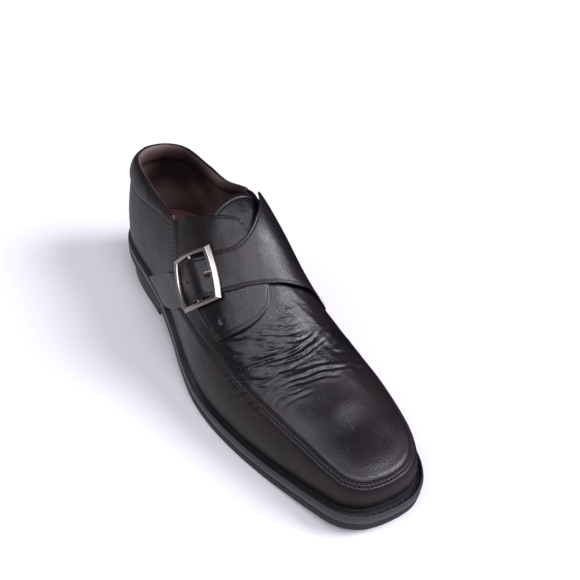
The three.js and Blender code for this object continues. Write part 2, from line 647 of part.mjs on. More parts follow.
// The padded collar rolls over the topline from the outside to the lining.
function collarGeometry() {
  const gap = 1.6 * fit;
  const loop = [
    { down: 1, out: gap },
    { down: 1, out: gap + 0.4 * collarPadding },
    { down: 0.75, out: gap + 0.55 * collarPadding },
    { down: 0.4, out: gap + 0.6 * collarPadding },
    { down: 0.0, out: gap + 0.4 * collarPadding },
    { down: -0.24, out: 0 },
    { down: -0.24, out: -upperWall - 0.1 * collarPadding },
    { down: 0.0, out: -upperWall - gap - 0.8 * collarPadding },
    { down: 0.4, out: -upperWall - gap - collarPadding },
    { down: 0.8, out: -upperWall - gap - 0.6 * collarPadding },
    { down: 1, out: -upperWall - gap - 0.2 * collarPadding },
    { down: 1, out: -upperWall - gap },
    { down: (-2 * gap) / collarDepth, out: -upperWall - gap },
    { down: (-2 * gap) / collarDepth, out: gap },
  ];
  const steps = 34;
  const loops = Array.from({ length: steps + 1 }, (_, k) => {
    const p = (2 * k) / steps - 1;
    return loop.map(({ down, out }) => toplinePoint(p, down * collarDepth, out));
  });
  return loopLoft(loops);
}

// The short strip sewn over the back seam below the topline.
function heelTabGeometry() {
  const reach = tabWidth / 2 / lastPoint(0, 0.6).distanceTo(lastPoint(stationAt(collarFrontLateral), -0.6));
  const stand = 2 * fit + 0.6 * collarPadding + fit;
  return gridSheet(5, 6, (t, across) => {
    const p = THREE.MathUtils.lerp(-reach, reach, across);
    const down = THREE.MathUtils.lerp(0.5, tabLength, t);
    return { outer: toplinePoint(p, down, stand + tabThickness), inner: toplinePoint(p, down, stand) };
  });
}

const blackLeather = { color: 0x241f22, roughness: 0.42, metalness: 0 };
const rubber = { color: 0x1c1b1d, roughness: 0.6, metalness: 0 };
const lining = { color: 0x3a2422, roughness: 0.7, metalness: 0 };
const nickel = { color: 0x9a948c, roughness: 0.3, metalness: 1 };

const shoe = new THREE.Group();

function add(name, geometry, finish) {
  const mesh = new THREE.Mesh(geometry, new THREE.MeshStandardMaterial(finish));
  mesh.name = name;
  geometry.computeVertexNormals();
  shoe.add(mesh);
}

add("heel", heelGeometry(), rubber);
add("outsole", outsoleGeometry(), rubber);
add("midsole", midsoleGeometry(), rubber);
add("insole", insoleGeometry(), lining);
add("upper", upperGeometry(), blackLeather);
add("tongue", tongueGeometry(), blackLeather);
add("collar", collarGeometry(), blackLeather);
add("heel_tab", heelTabGeometry(), blackLeather);
add("facing", bandGeometry(facingRows, 10, 12, () => facingStand, facingThickness), blackLeather);
add("anchor", bandGeometry(anchorRows, 10, 6, anchorStand, anchorThickness), blackLeather);
add("strap", strapGeometry(), blackLeather);
add("buckle_frame", buckleFrameGeometry(), nickel);
add("buckle_prong", prongTube(prongRadius, middleBarRadius + prongRadius + fit), nickel);

// The origin goes under the middle of the whole shoe.
const middle = new THREE.Box3().setFromObject(shoe).getCenter(new THREE.Vector3());
for (const mesh of shoe.children) mesh.geometry.translate(-middle.x, -middle.y, 0);

export default shoe;
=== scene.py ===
# Monk strap shoe with an apron toe: the leather, lining, sole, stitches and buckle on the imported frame.
import math

import bmesh
import bpy
import numpy as np
from mathutils import Matrix, Vector


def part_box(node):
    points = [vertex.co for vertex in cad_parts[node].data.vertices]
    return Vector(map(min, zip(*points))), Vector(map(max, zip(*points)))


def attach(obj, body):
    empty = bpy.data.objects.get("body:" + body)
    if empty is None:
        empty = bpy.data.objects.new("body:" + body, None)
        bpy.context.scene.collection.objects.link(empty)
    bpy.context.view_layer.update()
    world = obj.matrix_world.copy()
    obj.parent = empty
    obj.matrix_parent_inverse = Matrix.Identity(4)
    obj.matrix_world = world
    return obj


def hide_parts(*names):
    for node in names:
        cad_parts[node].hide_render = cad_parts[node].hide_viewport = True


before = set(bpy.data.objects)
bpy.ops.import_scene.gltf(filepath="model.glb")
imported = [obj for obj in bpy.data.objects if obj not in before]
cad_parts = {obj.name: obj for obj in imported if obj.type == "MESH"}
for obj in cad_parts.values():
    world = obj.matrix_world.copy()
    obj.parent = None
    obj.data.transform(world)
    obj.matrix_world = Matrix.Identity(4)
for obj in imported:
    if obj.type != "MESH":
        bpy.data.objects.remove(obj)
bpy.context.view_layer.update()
mm = 0.001

# The shoe's main sizes, in metres, as the solids have them
shoe = {
    "lastLength": 290 * mm,
    "ballWidth": 96 * mm,
    "instepHeight": 104 * mm,
    "heelLift": 21 * mm,
    "outsole": 5.6 * mm,
    "midsole": 5 * mm,
    "welt": 5.8 * mm,
    "heelInset": 2.4 * mm,
    "heelLength": 76 * mm,
    "insole": 3 * mm,
    "wall": 2 * mm,
    "fit": 0.35 * mm,
    "heelMiddle": 0.115,
    "throat": 0.5,
    "throatClosing": 0.04,
    "middleLine": -0.14 * mm,
}

# The last from the heel back to the toe tip, a row for each section: shares of the sizes above
sectionColumns = (
    "along lateral medial axis ridgeAlong ridge lift welt skew pitch rise crownLateral crownMedial belly "
    "edgeLateral edgeMedial"
).split()
sectionRows = [
    (0, 0, 0, 0, 0.125, 1.17, 1, 0.4, 0, 0, 0.78, 0.5, 0.5, 0.14, 0.39, 0.39),
    (0.008, 0.122, 0.128, 0, 0.125, 1.17, 1, 0.4, 0, 0, 0.78, 0.45, 0.45, 0.14, 0.39, 0.39),
    (0.036, 0.235, 0.243, 0, 0.125, 1.17, 1, 0.4, 0, 0, 0.76, 0.36, 0.36, 0.12, 0.395, 0.395),
    (0.085, 0.31, 0.315, 0, 0.14, 1.17, 1, 0.4, 0, 0, 0.7, 0.24, 0.28, 0.09, 0.41, 0.41),
    (0.15, 0.35, 0.332, 0.005, 0.17, 1.17, 0.99, 0.4, 0, 0, 0.67, 0.2, 0.36, 0.07, 0.41, 0.41),
    (0.23, 0.372, 0.31, 0.015, 0.23, 1.175, 0.94, 0.41, 0, 0, 0.66, 0.24, 0.58, 0.07, 0.405, 0.42),
    (0.31, 0.41, 0.275, 0.04, 0.31, 1.175, 0.79, 0.44, 0, 0, 0.65, 0.32, 0.88, 0.07, 0.43, 0.52),
    (0.39, 0.464, 0.259, 0.06, 0.39, 1.125, 0.53, 0.49, 0, 0, 0.62, 0.38, 0.97, 0.06, 0.62, 0.71),
    (0.47, 0.516, 0.281, 0.065, 0.47, 1.01, 0.24, 0.55, 0, 0, 0.61, 0.42, 0.92, 0.06, 0.84, 0.86),
    (0.55, 0.545, 0.335, 0.06, 0.55, 0.845, 0.06, 0.6, 0, 0, 0.63, 0.5, 0.78, 0.06, 0.72, 0.72),
    (0.63, 0.535, 0.392, 0.055, 0.63, 0.695, 0, 0.64, 0, -0.2, 0.68, 0.58, 0.68, 0.06, 0.56, 0.56),
    (0.71, 0.493, 0.429, 0.05, 0.705, 0.585, 0, 0.67, 0, -0.2, 0.74, 0.64, 0.66, 0.05, 0.48, 0.48),
    (0.79, 0.431, 0.437, 0.045, 0.775, 0.515, 0.03, 0.72, 0.02, -0.2, 0.78, 0.68, 0.68, 0.05, 0.45, 0.45),
    (0.865, 0.364, 0.402, 0.042, 0.83, 0.47, 0.12, 0.8, 0.05, -0.2, 0.82, 0.7, 0.7, 0.05, 0.44, 0.44),
    (0.925, 0.314, 0.34, 0.046, 0.86, 0.445, 0.23, 0.89, 0.08, -0.2, 0.84, 0.72, 0.72, 0.05, 0.44, 0.44),
    (0.968, 0.264, 0.252, 0.046, 0.87, 0.435, 0.32, 0.96, 0.1, -0.2, 0.85, 0.72, 0.72, 0.05, 0.44, 0.44),
    (0.991, 0.178, 0.16, 0.04, 0.87, 0.435, 0.37, 1, 0.1, -0.2, 0.85, 0.72, 0.72, 0.05, 0.44, 0.44),
    (0.9985, 0.088, 0.078, 0.034, 0.87, 0.435, 0.385, 1, 0.1, -0.2, 0.85, 0.72, 0.72, 0.05, 0.44, 0.44),
    (1, 0, 0, 0.032, 0.87, 0.435, 0.39, 1, 0.1, -0.2, 0.85, 0.72, 0.72, 0.05, 0.44, 0.44),
]
sections = {name: np.array([row[k] for row in sectionRows], float) for k, name in enumerate(sectionColumns)}
ridgeEnd = 15 / (len(sectionRows) - 1)  # the toe's last station with a ridge point of its own

# Where the functions below measure from: x from under the heel, y from the last's middle line
weltBehind = sections["welt"][0] * shoe["welt"]
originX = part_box("outsole")[0].x + weltBehind + shoe["heelMiddle"] * shoe["lastLength"]
origin = np.array([originX, shoe["middleLine"], 0])


def unit(v):
    return v / (np.linalg.norm(v, axis=-1, keepdims=True) + 1e-15)


def smooth(x, low, high):
    t = np.clip((x - low) / (high - low), 0, 1)
    return t * t * (3 - 2 * t)


def bell(x, width):
    return np.exp(-((x / width) ** 2))


def spline(column, t, ends="free"):
    # uniform Catmull-Rom through one column of a table, t from 0 to 1
    last = len(column) - 1
    outside = {
        "free": (2 * column[0] - column[1], 2 * column[-1] - column[-2]),
        "even": (column[1], column[-2]),
        "odd": (-column[1], -column[-2]),
    }[ends]
    padded = np.concatenate([[outside[0]], column, [outside[1]]])
    place = np.clip(t, 0, 1) * last
    i = np.minimum(np.floor(place).astype(int), last - 1)
    f = place - i
    a, b, c, d = padded[i], padded[i + 1], padded[i + 2], padded[i + 3]
    return b + 0.5 * f * (c - a + f * (2 * a - 5 * b + 4 * c - d + f * (3 * (b - c) + d - a)))


def section(name, s):
    return spline(sections[name], np.asarray(s, float), "odd" if name in ("lateral", "medial") else "even")


stationGrid = np.linspace(0, 1, 6001)
alongGrid = np.maximum.accumulate(section("along", stationGrid))


def stationAt(along):
    # the station, 0 to 1 down the table of sections, at a share of the last's length
    return np.interp(along, alongGrid, stationGrid)


def underside(s):
    # the outsole's lower face above the floor
    return np.maximum(0, section("lift", s)) * shoe["heelLift"]


def bed(s):
    # the sole's upper face, where the upper and the insole stand
    return underside(s) + shoe["outsole"] + shoe["midsole"] + 2 * shoe["fit"]


def featherPoint(s, side):
    # where the upper meets the sole, on the lateral side (-1) or the medial one (1)
    half = np.where(side < 0, section("lateral", s), section("medial", s)) * shoe["ballWidth"]
    x = (section("along", s) - shoe["heelMiddle"]) * shoe["lastLength"] + section("skew", s) * side * half
    return np.stack([x, section("axis", s) * shoe["ballWidth"] + side * half, bed(s)], -1) + origin


def lastPoint(s, wrap):
    # the upper's outside: wrap -1 at the lateral feather line, 0 at the ridge, 1 at the medial feather line
    s, wrap = np.broadcast_arrays(np.asarray(s, float), np.asarray(wrap, float))
    side = np.where(wrap < 0, -1.0, 1.0)
    foot = featherPoint(s, side)
    t = np.minimum(s, ridgeEnd)  # past it all sections share one ridge point
    top = np.stack(
        [
            (section("ridgeAlong", t) - shoe["heelMiddle"]) * shoe["lastLength"],
            section("axis", t) * shoe["ballWidth"],
            section("ridge", t) * shoe["instepHeight"],
        ],
        -1,
    ) + origin
    out = foot[..., :2] - top[..., :2]
    width = np.hypot(out[..., 0], out[..., 1]) + 1e-9
    out = out / width[..., None]
    height = top[..., 2] - foot[..., 2]
    crown = width * np.where(side < 0, section("crownLateral", s), section("crownMedial", s))
    u = 1 - np.abs(wrap)
    b0, b1, b2, b3 = (1 - u) ** 3, 3 * u * (1 - u) ** 2, 3 * u * u * (1 - u), u**3
    reach = b0 * width + b1 * width * (1 + section("belly", s)) + b2 * crown
    z = b0 * foot[..., 2] + b1 * (foot[..., 2] + section("rise", s) * height)
    z = z + b2 * (top[..., 2] + section("pitch", s) * crown * out[..., 0]) + b3 * top[..., 2]
    return np.stack([top[..., 0] + out[..., 0] * reach, top[..., 1] + out[..., 1] * reach, z], -1)


def toplineWrap(s, side):
    # where the upper ends at the top: the topline behind the throat, the ridge in front of it
    edge = np.where(side < 0, section("edgeLateral", s), section("edgeMedial", s))
    closed = smooth(section("along", s), shoe["throat"], shoe["throat"] + shoe["throatClosing"])
    return np.clip(1 - edge, 0, 1) * (1 - closed)


def lastNormal(s, wrap):
    # across the ridge the two sides' directions blend into one
    s, wrap = np.broadcast_arrays(np.asarray(s, float), np.asarray(wrap, float))
    step = 0.004
    blend = 0.04
    inner = np.clip(s, step, 1 - step)

    def oneSide(w):
        low = np.where(w < 0, np.maximum(-1, w - step), np.maximum(0, w - step))
        high = np.where(w < 0, np.minimum(-1e-6, w + step), np.minimum(1, w + step))
        alongS = lastPoint(inner + step / 2, w) - lastPoint(inner - step / 2, w)
        return unit(np.cross(alongS, lastPoint(inner, high) - lastPoint(inner, low)))

    own = oneSide(wrap)
    atEnd = (inner != s)[..., None]
    own = np.where(atEnd, own + oneSide(-wrap), own)
    nearRidge = np.clip(1 - np.abs(wrap) / blend, 0, 1)[..., None]
    ridge = unit(unit(oneSide(0 * wrap + blend)) + unit(oneSide(0 * wrap - blend)))
    return unit(unit(own) * (1 - nearRidge) + ridge * nearRidge)


def offsetPoint(s, wrap, height):
    # a place above the last's surface, or inside it with a height below 0
    return lastPoint(s, wrap) + lastNormal(s, wrap) * np.asarray(height)[..., None]


def outlinePoint(s, side, reach):
    # the sole's outline: the feather line moved outwards in plan
    step = 0.002
    run = featherPoint(np.minimum(1, s + step), side) - featherPoint(np.maximum(0, s - step), side)
    length = np.hypot(run[..., 0], run[..., 1])
    out = np.stack([-side * run[..., 1] / length, side * run[..., 0] / length], -1)
    foot = featherPoint(s, side)
    foot[..., :2] += out * np.asarray(reach)[..., None]
    return foot


def ripple(points, scale, seed, waves=6):
    # a soft wavy field, mostly between -1 and 1, from a few crossing sines, with its own seed
    rng = np.random.default_rng(seed)
    field = np.zeros(points.shape[:-1])
    for _ in range(waves):
        direction = rng.normal(size=3)
        direction /= np.linalg.norm(direction)
        phase = points @ direction * (2 * math.pi / scale) * rng.uniform(0.6, 1.7)
        field += np.sin(phase + rng.uniform(0, 6.3))
    return field / 3.2  # about what six sines come to together


# Meshes

def meshOf(bm, name):
    mesh = bpy.data.meshes.new(name)
    bm.to_mesh(mesh)
    bm.free()
    return mesh


def meshPoints(mesh):
    points = np.empty(len(mesh.vertices) * 3)
    mesh.vertices.foreach_get("co", points)
    return points.reshape(-1, 3)


def movePoints(mesh, points):
    mesh.vertices.foreach_set("co", points.astype(np.float32).ravel())


def gridMesh(name, columns, rows, place, weld=0.0):
    # a bmesh grid whose vertices go to place(u, v), with u and v kept as its UV map and masks as attributes
    bm = bmesh.new()
    bmesh.ops.create_grid(bm, x_segments=columns, y_segments=rows, size=1)
    mesh = meshOf(bm, name)
    flat = meshPoints(mesh)
    u = (flat[:, 0] - flat[:, 0].min()) / np.ptp(flat[:, 0])
    v = (flat[:, 1] - flat[:, 1].min()) / np.ptp(flat[:, 1])
    made = place(u, v)
    points, masks = made if isinstance(made, tuple) else (made, {})
    movePoints(mesh, points)
    for maskName, mask in masks.items():
        values = np.clip(mask, 0, 1).astype(np.float32)
        mesh.attributes.new(maskName, "FLOAT", "POINT").data.foreach_set("value", values)
    corner = np.empty(len(mesh.loops), np.int32)
    mesh.loops.foreach_get("vertex_index", corner)
    layer = mesh.uv_layers.new(name="UVMap")
    layer.data.foreach_set("uv", np.stack([u[corner], v[corner]], -1).astype(np.float32).ravel())
    if weld:
        bm = bmesh.new()
        bm.from_mesh(mesh)
        bmesh.ops.remove_doubles(bm, verts=bm.verts, dist=weld)
        bmesh.ops.dissolve_degenerate(bm, edges=bm.edges, dist=weld)
        bm.to_mesh(mesh)
        bm.free()
    return mesh


def faceOut(mesh):
    # closed meshes only: every face is turned outwards
    bm = bmesh.new()
    bm.from_mesh(mesh)
    bmesh.ops.recalc_face_normals(bm, faces=bm.faces)
    bm.to_mesh(mesh)
    bm.free()


def axesOf(x, y, z):
    # the turn that brings the three axes onto these directions
    return Matrix([list(x), list(y), list(z)]).transposed().to_4x4()


def addObject(name, data):
    made = bpy.data.objects.new(name, data)
    bpy.context.scene.collection.objects.link(made)
    return made


def addPiece(name, mesh, materials, replaced=(), sharp=None):
    mesh.shade_smooth()
    if sharp:
        mesh.set_sharp_from_angle(angle=math.radians(sharp))
    piece = addObject(name, mesh)
    for material in materials:
        mesh.materials.append(material)
    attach(piece, "root")
    if replaced:
        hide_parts(*replaced)
    return piece


def thicken(piece, thickness, edge=0.0, segments=2):
    solid = piece.modifiers.new("thickness", "SOLIDIFY")
    solid.thickness = thickness
    solid.offset = -1
    if edge:
        bevel = piece.modifiers.new("edge", "BEVEL")
        bevel.limit_method = "ANGLE"
        bevel.angle_limit = math.radians(50)
        bevel.width = edge
        bevel.segments = segments


def pathField(points, path, normals, margin=14 * mm, batch=4000):
    # for each point: its distance from the path, signed to the path's left, and its share along the path
    tangent = unit(np.gradient(path, axis=0))
    left = unit(np.cross(normals, tangent))
    signed = np.full(len(points), 1.0)
    share = np.zeros(len(points))
    near = np.all((points > path.min(0) - margin) & (points < path.max(0) + margin), axis=1).nonzero()[0]
    for start in range(0, len(near), batch):
        some = near[start : start + batch]
        apart = points[some, None, :] - path[None]
        nearest = (apart**2).sum(-1).argmin(1)
        off = apart[np.arange(len(some)), nearest]
        lengthwise = (off * tangent[nearest]).sum(-1)
        inside = (nearest > 0) & (nearest < len(path) - 1)
        lateral = np.sqrt(np.maximum((off**2).sum(-1) - np.where(inside, lengthwise**2, 0), 0))
        signed[some] = lateral * np.sign((off * left[nearest]).sum(-1) + 1e-12)
        share[some] = nearest / (len(path) - 1)
    return signed, share


def pathOnLast(marks, count=60):
    # a smooth path through (along, wrap) marks, with its normals
    t = np.linspace(0, 1, count)
    s = spline(stationAt(np.array([m[0] for m in marks], float)), t)
    wrap = spline(np.array([m[1] for m in marks], float), t)
    return lastPoint(s, wrap), lastNormal(s, wrap)


def pathRoundToe(marks, count=700):
    # the same for marks that go round the toe, from the lateral side (wrap below 0) to the medial one
    t = np.linspace(0, 1, count)
    station = stationAt(np.array([m[0] for m in marks], float))
    turn = spline(np.array([s if m[1] < 0 else 2 - s for s, m in zip(station, marks)]), t)
    wrap = spline(np.abs(np.array([m[1] for m in marks], float)), t)
    s = 1 - np.abs(turn - 1)
    wrap = np.where(turn < 1, -wrap, wrap)
    return lastPoint(s, wrap), lastNormal(s, wrap)


# Paths on the upper, as (share of the last's length, wrap)
seams = {
    "apron": [
        (0.40, -0.86), (0.429, -0.82), (0.491, -0.752), (0.557, -0.691), (0.615, -0.643), (0.67, -0.618),
        (0.726, -0.595), (0.782, -0.575), (0.853, -0.573), (0.909, -0.591), (0.958, -0.607), (0.983, -0.615),
        (0.996, -0.619), (1.0, -0.615), (0.998, 0.597), (0.982, 0.585), (0.945, 0.60), (0.88, 0.585),
        (0.80, 0.572), (0.70, 0.575), (0.60, 0.60), (0.52, 0.655), (0.46, 0.72), (0.40, 0.80),
    ],
    "quarterLateral": [(0.296, -0.585), (0.32, -0.643), (0.345, -0.679), (0.365, -0.715), (0.392, -0.775)],
    "quarterMedial": [(0.335, 0.47), (0.352, 0.53), (0.372, 0.6), (0.39, 0.68), (0.405, 0.76)],
    "backSeam": [(0.0, -0.64), (0.0, -0.8), (0.0, -0.98)],
}
quarterSeams = [("quarterLateral", 1), ("quarterMedial", -1)]  # 1 where the quarter lies to the path's left

# Creases of the vamp: marks, depth and half width in mm, and a ridge beside them as a share of the depth
creases = [
    (
        [
            (0.66, -0.585), (0.672, -0.46), (0.685, -0.33), (0.697, -0.2), (0.699, -0.058), (0.69, 0.08),
            (0.67, 0.22),
        ],
        0.7, 0.9, 1.3,
    ),
    (
        [(0.676, -0.43), (0.696, -0.30), (0.709, -0.17), (0.712, -0.03), (0.703, 0.1), (0.69, 0.21)],
        0.5, 0.7, 1.3,
    ),
    ([(0.707, -0.36), (0.722, -0.23), (0.727, -0.09)], 0.4, 0.9, 0.8),
    (
        [(0.735, -0.45), (0.741, -0.3), (0.752, -0.13), (0.759, 0.03), (0.765, 0.17), (0.768, 0.3)],
        0.6, 0.9, 1.3,
    ),
    ([(0.748, -0.33), (0.761, -0.16), (0.773, -0.02), (0.784, 0.1)], 0.6, 0.9, 0.9),
    ([(0.728, -0.2), (0.74, -0.06), (0.746, 0.08)], 0.35, 0.8, 0.8),
    ([(0.776, -0.41), (0.783, -0.27), (0.793, -0.13)], 0.3, 1.0, 0.6),
    ([(0.595, -0.54), (0.618, -0.45), (0.633, -0.36), (0.652, -0.27), (0.658, -0.19)], 0.6, 1.3, 0.8),
    ([(0.613, -0.575), (0.632, -0.5), (0.655, -0.42), (0.664, -0.33)], 0.55, 1.1, 0.8),
    ([(0.632, -0.6), (0.648, -0.54), (0.662, -0.49)], 0.4, 1.0, 0.7),
    ([(0.625, -0.35), (0.643, -0.22), (0.662, -0.1), (0.668, 0.03)], 0.45, 0.9, 0.9),
    ([(0.614, -0.17), (0.627, -0.09), (0.634, 0.01)], 0.35, 0.7, 0.8),
    ([(0.62, -0.23), (0.636, -0.14), (0.648, -0.03), (0.651, 0.06)], 0.32, 0.7, 0.8),
    ([(0.605, -0.08), (0.617, -0.01), (0.618, 0.07)], 0.3, 0.7, 0.8),
    ([(0.682, -0.585), (0.692, -0.5), (0.71, -0.42), (0.716, -0.33)], 0.45, 1.0, 0.8),
    ([(0.645, -0.31), (0.668, -0.25), (0.682, -0.14)], 0.4, 0.7, 0.9),
    ([(0.655, -0.155), (0.676, -0.1), (0.684, 0.0), (0.68, 0.1)], 0.35, 0.8, 0.8),
    ([(0.70, 0.2), (0.69, 0.3), (0.676, 0.4), (0.664, 0.5)], 0.5, 1.3, 0.8),
    ([(0.775, 0.3), (0.772, 0.4), (0.765, 0.5)], 0.45, 1.3, 0.7),
    ([(0.73, 0.14), (0.733, 0.27), (0.728, 0.4)], 0.4, 1.1, 0.8),
    ([(0.71, -0.52), (0.726, -0.44), (0.73, -0.37)], 0.35, 0.8, 0.8),
    ([(0.765, -0.5), (0.758, -0.43), (0.767, -0.34)], 0.3, 0.9, 0.7),
    # thin wrinkles between them
    ([(0.6, -0.42), (0.62, -0.34), (0.632, -0.27)], 0.28, 0.5, 0.9),
    ([(0.607, -0.36), (0.63, -0.29), (0.641, -0.2)], 0.25, 0.5, 0.9),
    ([(0.638, -0.45), (0.664, -0.37), (0.676, -0.27), (0.683, -0.17)], 0.3, 0.5, 0.9),
    ([(0.65, -0.5), (0.674, -0.42), (0.69, -0.34)], 0.26, 0.5, 0.9),
    ([(0.7, -0.46), (0.716, -0.36), (0.72, -0.27), (0.726, -0.18)], 0.28, 0.5, 0.9),
    ([(0.722, -0.5), (0.735, -0.4), (0.738, -0.3)], 0.25, 0.5, 0.9),
    ([(0.754, -0.42), (0.768, -0.3), (0.774, -0.2)], 0.25, 0.5, 0.9),
    ([(0.66, 0.26), (0.655, 0.36), (0.645, 0.45)], 0.28, 0.6, 0.9),
    ([(0.712, 0.24), (0.708, 0.34), (0.7, 0.43)], 0.28, 0.6, 0.9),
]
# Pinches over the wall below the seam: along, wrap, their length as a share of the wrap, and depth in mm
pinches = [
    (0.585, -0.70, 0.06, 0.44), (0.607, -0.688, 0.10, 0.68), (0.619, -0.68, 0.06, 0.48),
    (0.65, -0.665, 0.12, 0.78), (0.661, -0.66, 0.07, 0.54), (0.688, -0.65, 0.11, 0.71),
    (0.716, -0.64, 0.06, 0.44), (0.732, -0.635, 0.10, 0.61), (0.765, -0.627, 0.06, 0.37),
    (0.65, 0.64, 0.12, 0.54), (0.688, 0.63, 0.10, 0.61), (0.727, 0.62, 0.08, 0.51),
]
upperLook = {
    "stations": 312,
    "wallRows": 14,
    "seamRows": 20,
    "topRows": 41,
    "leather": 1.3 * mm,
    # the apron seam: its band of close rows, its ridge, and the groove under each of its two stitch rows
    "seamBand": 3.0 * mm,
    "seamRidge": 0.35 * mm,
    "grooveDepth": 0.5 * mm,
    "grooveWidth": 0.42 * mm,
    "stitchGap": 1.15 * mm,
    # the puffs beside it: height, distance from the seam, half width
    "puffs": ((0.35 * mm, 3.6 * mm, 2.2 * mm), (0.3 * mm, -3.8 * mm, 2.4 * mm)),
    # closer columns where the vamp flexes
    "flexStart": 0.57,
    "flexStop": 0.81,
    "flexShare": 0.44,
    # the quarters' edges: their step, where it fades out behind them, and the groove before them
    "panelStep": 0.8 * mm,
    "panelFade": (5 * mm, 9 * mm),
    "panelGroove": 0.3 * mm,
    "backGroove": 0.3 * mm,
    "backRidge": 0.2 * mm,
    "tuck": 0.5 * mm,
    # undulations of the leather: height, size and seed
    "vampWaves": ((0.26 * mm, 24 * mm, 3), (0.1 * mm, 9 * mm, 5)),
    "allOver": (0.1 * mm, 15 * mm, 4),
    # round the toe's pole: where the smooth height takes over, and where the relief fades out
    "toeReach": 20 * mm,
    "poleFade": (1.5 * mm, 6 * mm),
}


def seamWrap(s, side):
    # how far down the wrap the apron seam runs, for the mesh rows that follow it
    marks = sorted((m[0], abs(m[1])) for m in seams["apron"] if m[1] * side > 0 or m[0] == 1)
    return np.interp(section("along", s), *zip(*marks))


def upperGrid(u, v):
    # station, side and wrap for each place of the upper's grid, with closer columns where the vamp flexes
    look = upperLook
    low, high = float(stationAt(look["flexStart"])), float(stationAt(look["flexStop"]))
    rest = (1 - look["flexShare"]) / (1 - high + low)
    shares = [0, low * rest, low * rest + look["flexShare"], 1]
    s = np.interp(1 - np.abs(2 * u - 1), shares, [0, low, high, 1])
    side = np.where(u <= 0.5, -1.0, 1.0)
    topWrap = toplineWrap(s, side)
    seam = np.where(side < 0, seamWrap(s, -1), seamWrap(s, 1))
    step = 0.01
    across = lastPoint(s, side * (seam - step)) - lastPoint(s, side * (seam + step))
    band = look["seamBand"] / (np.linalg.norm(across, axis=-1) / (2 * step))
    # wall rows from the feather line up to the band, band rows over the seam, top rows up to the topline
    bandLow = np.minimum(seam + band, 0.97)
    bandHigh = np.maximum(seam - band, topWrap + 0.02)
    wallRows, seamRows, topRows = look["wallRows"], look["seamRows"], look["topRows"]
    row = v * (wallRows + seamRows + topRows)
    onWall = 1 + (bandLow - 1) * row / wallRows
    onBand = bandLow + (bandHigh - bandLow) * (row - wallRows) / seamRows
    onTop = bandHigh + (topWrap - bandHigh) * (row - wallRows - seamRows) / topRows
    wrap = np.where(row <= wallRows, onWall, np.where(row <= wallRows + seamRows, onBand, onTop))
    return s, side, wrap


def creaseRelief(points):
    # the relief in metres and a mask of the troughs, where shade is painted
    relief = np.zeros(len(points))
    trough = np.zeros(len(points))
    warp = 0.35 * mm * ripple(points, 14 * mm, 41) + 0.12 * mm * ripple(points, 5 * mm, 42)
    vary = 0.78 + 0.35 * ripple(points, 13 * mm, 43)
    for marks, depth, width, ridge in creases:
        path, normals = pathOnLast(marks, 60)
        signed, share = pathField(points, path, normals)
        d = (signed + warp) / mm
        fade = np.sin(np.pi * np.clip(share, 0.02, 0.98)) ** 0.7 * vary
        valley = np.exp(-((np.abs(d) / width) ** 1.5))
        relief -= depth * mm * fade * valley
        relief += depth * ridge * 0.6 * mm * fade * bell(d - 2.0 * width, 1.2 * width)
        relief += depth * ridge * 0.3 * mm * fade * bell(d + 2.0 * width, 1.3 * width)
        trough = np.maximum(trough, fade * depth * bell(d, width * 0.55))
    for along, wrap, reach, depth in pinches:
        away = math.copysign(reach, wrap)
        back = 0.2 * reach
        upperMark = (along + back * 0.5, wrap - away * 0.5)
        middleMark = (along - back * 0.3, wrap + away * 0.3)
        path, normals = pathOnLast([upperMark, middleMark, (along - back, wrap + away)], 24)
        signed, share = pathField(points, path, normals)
        fade = np.sin(np.pi * np.clip(share, 0.04, 0.96)) ** 0.8
        relief -= depth * mm * fade * bell(signed / mm, 0.9)
        relief += depth * 0.45 * mm * fade * (bell(signed / mm - 1.8, 1.1) + bell(signed / mm + 1.8, 1.1))
    return relief, trough


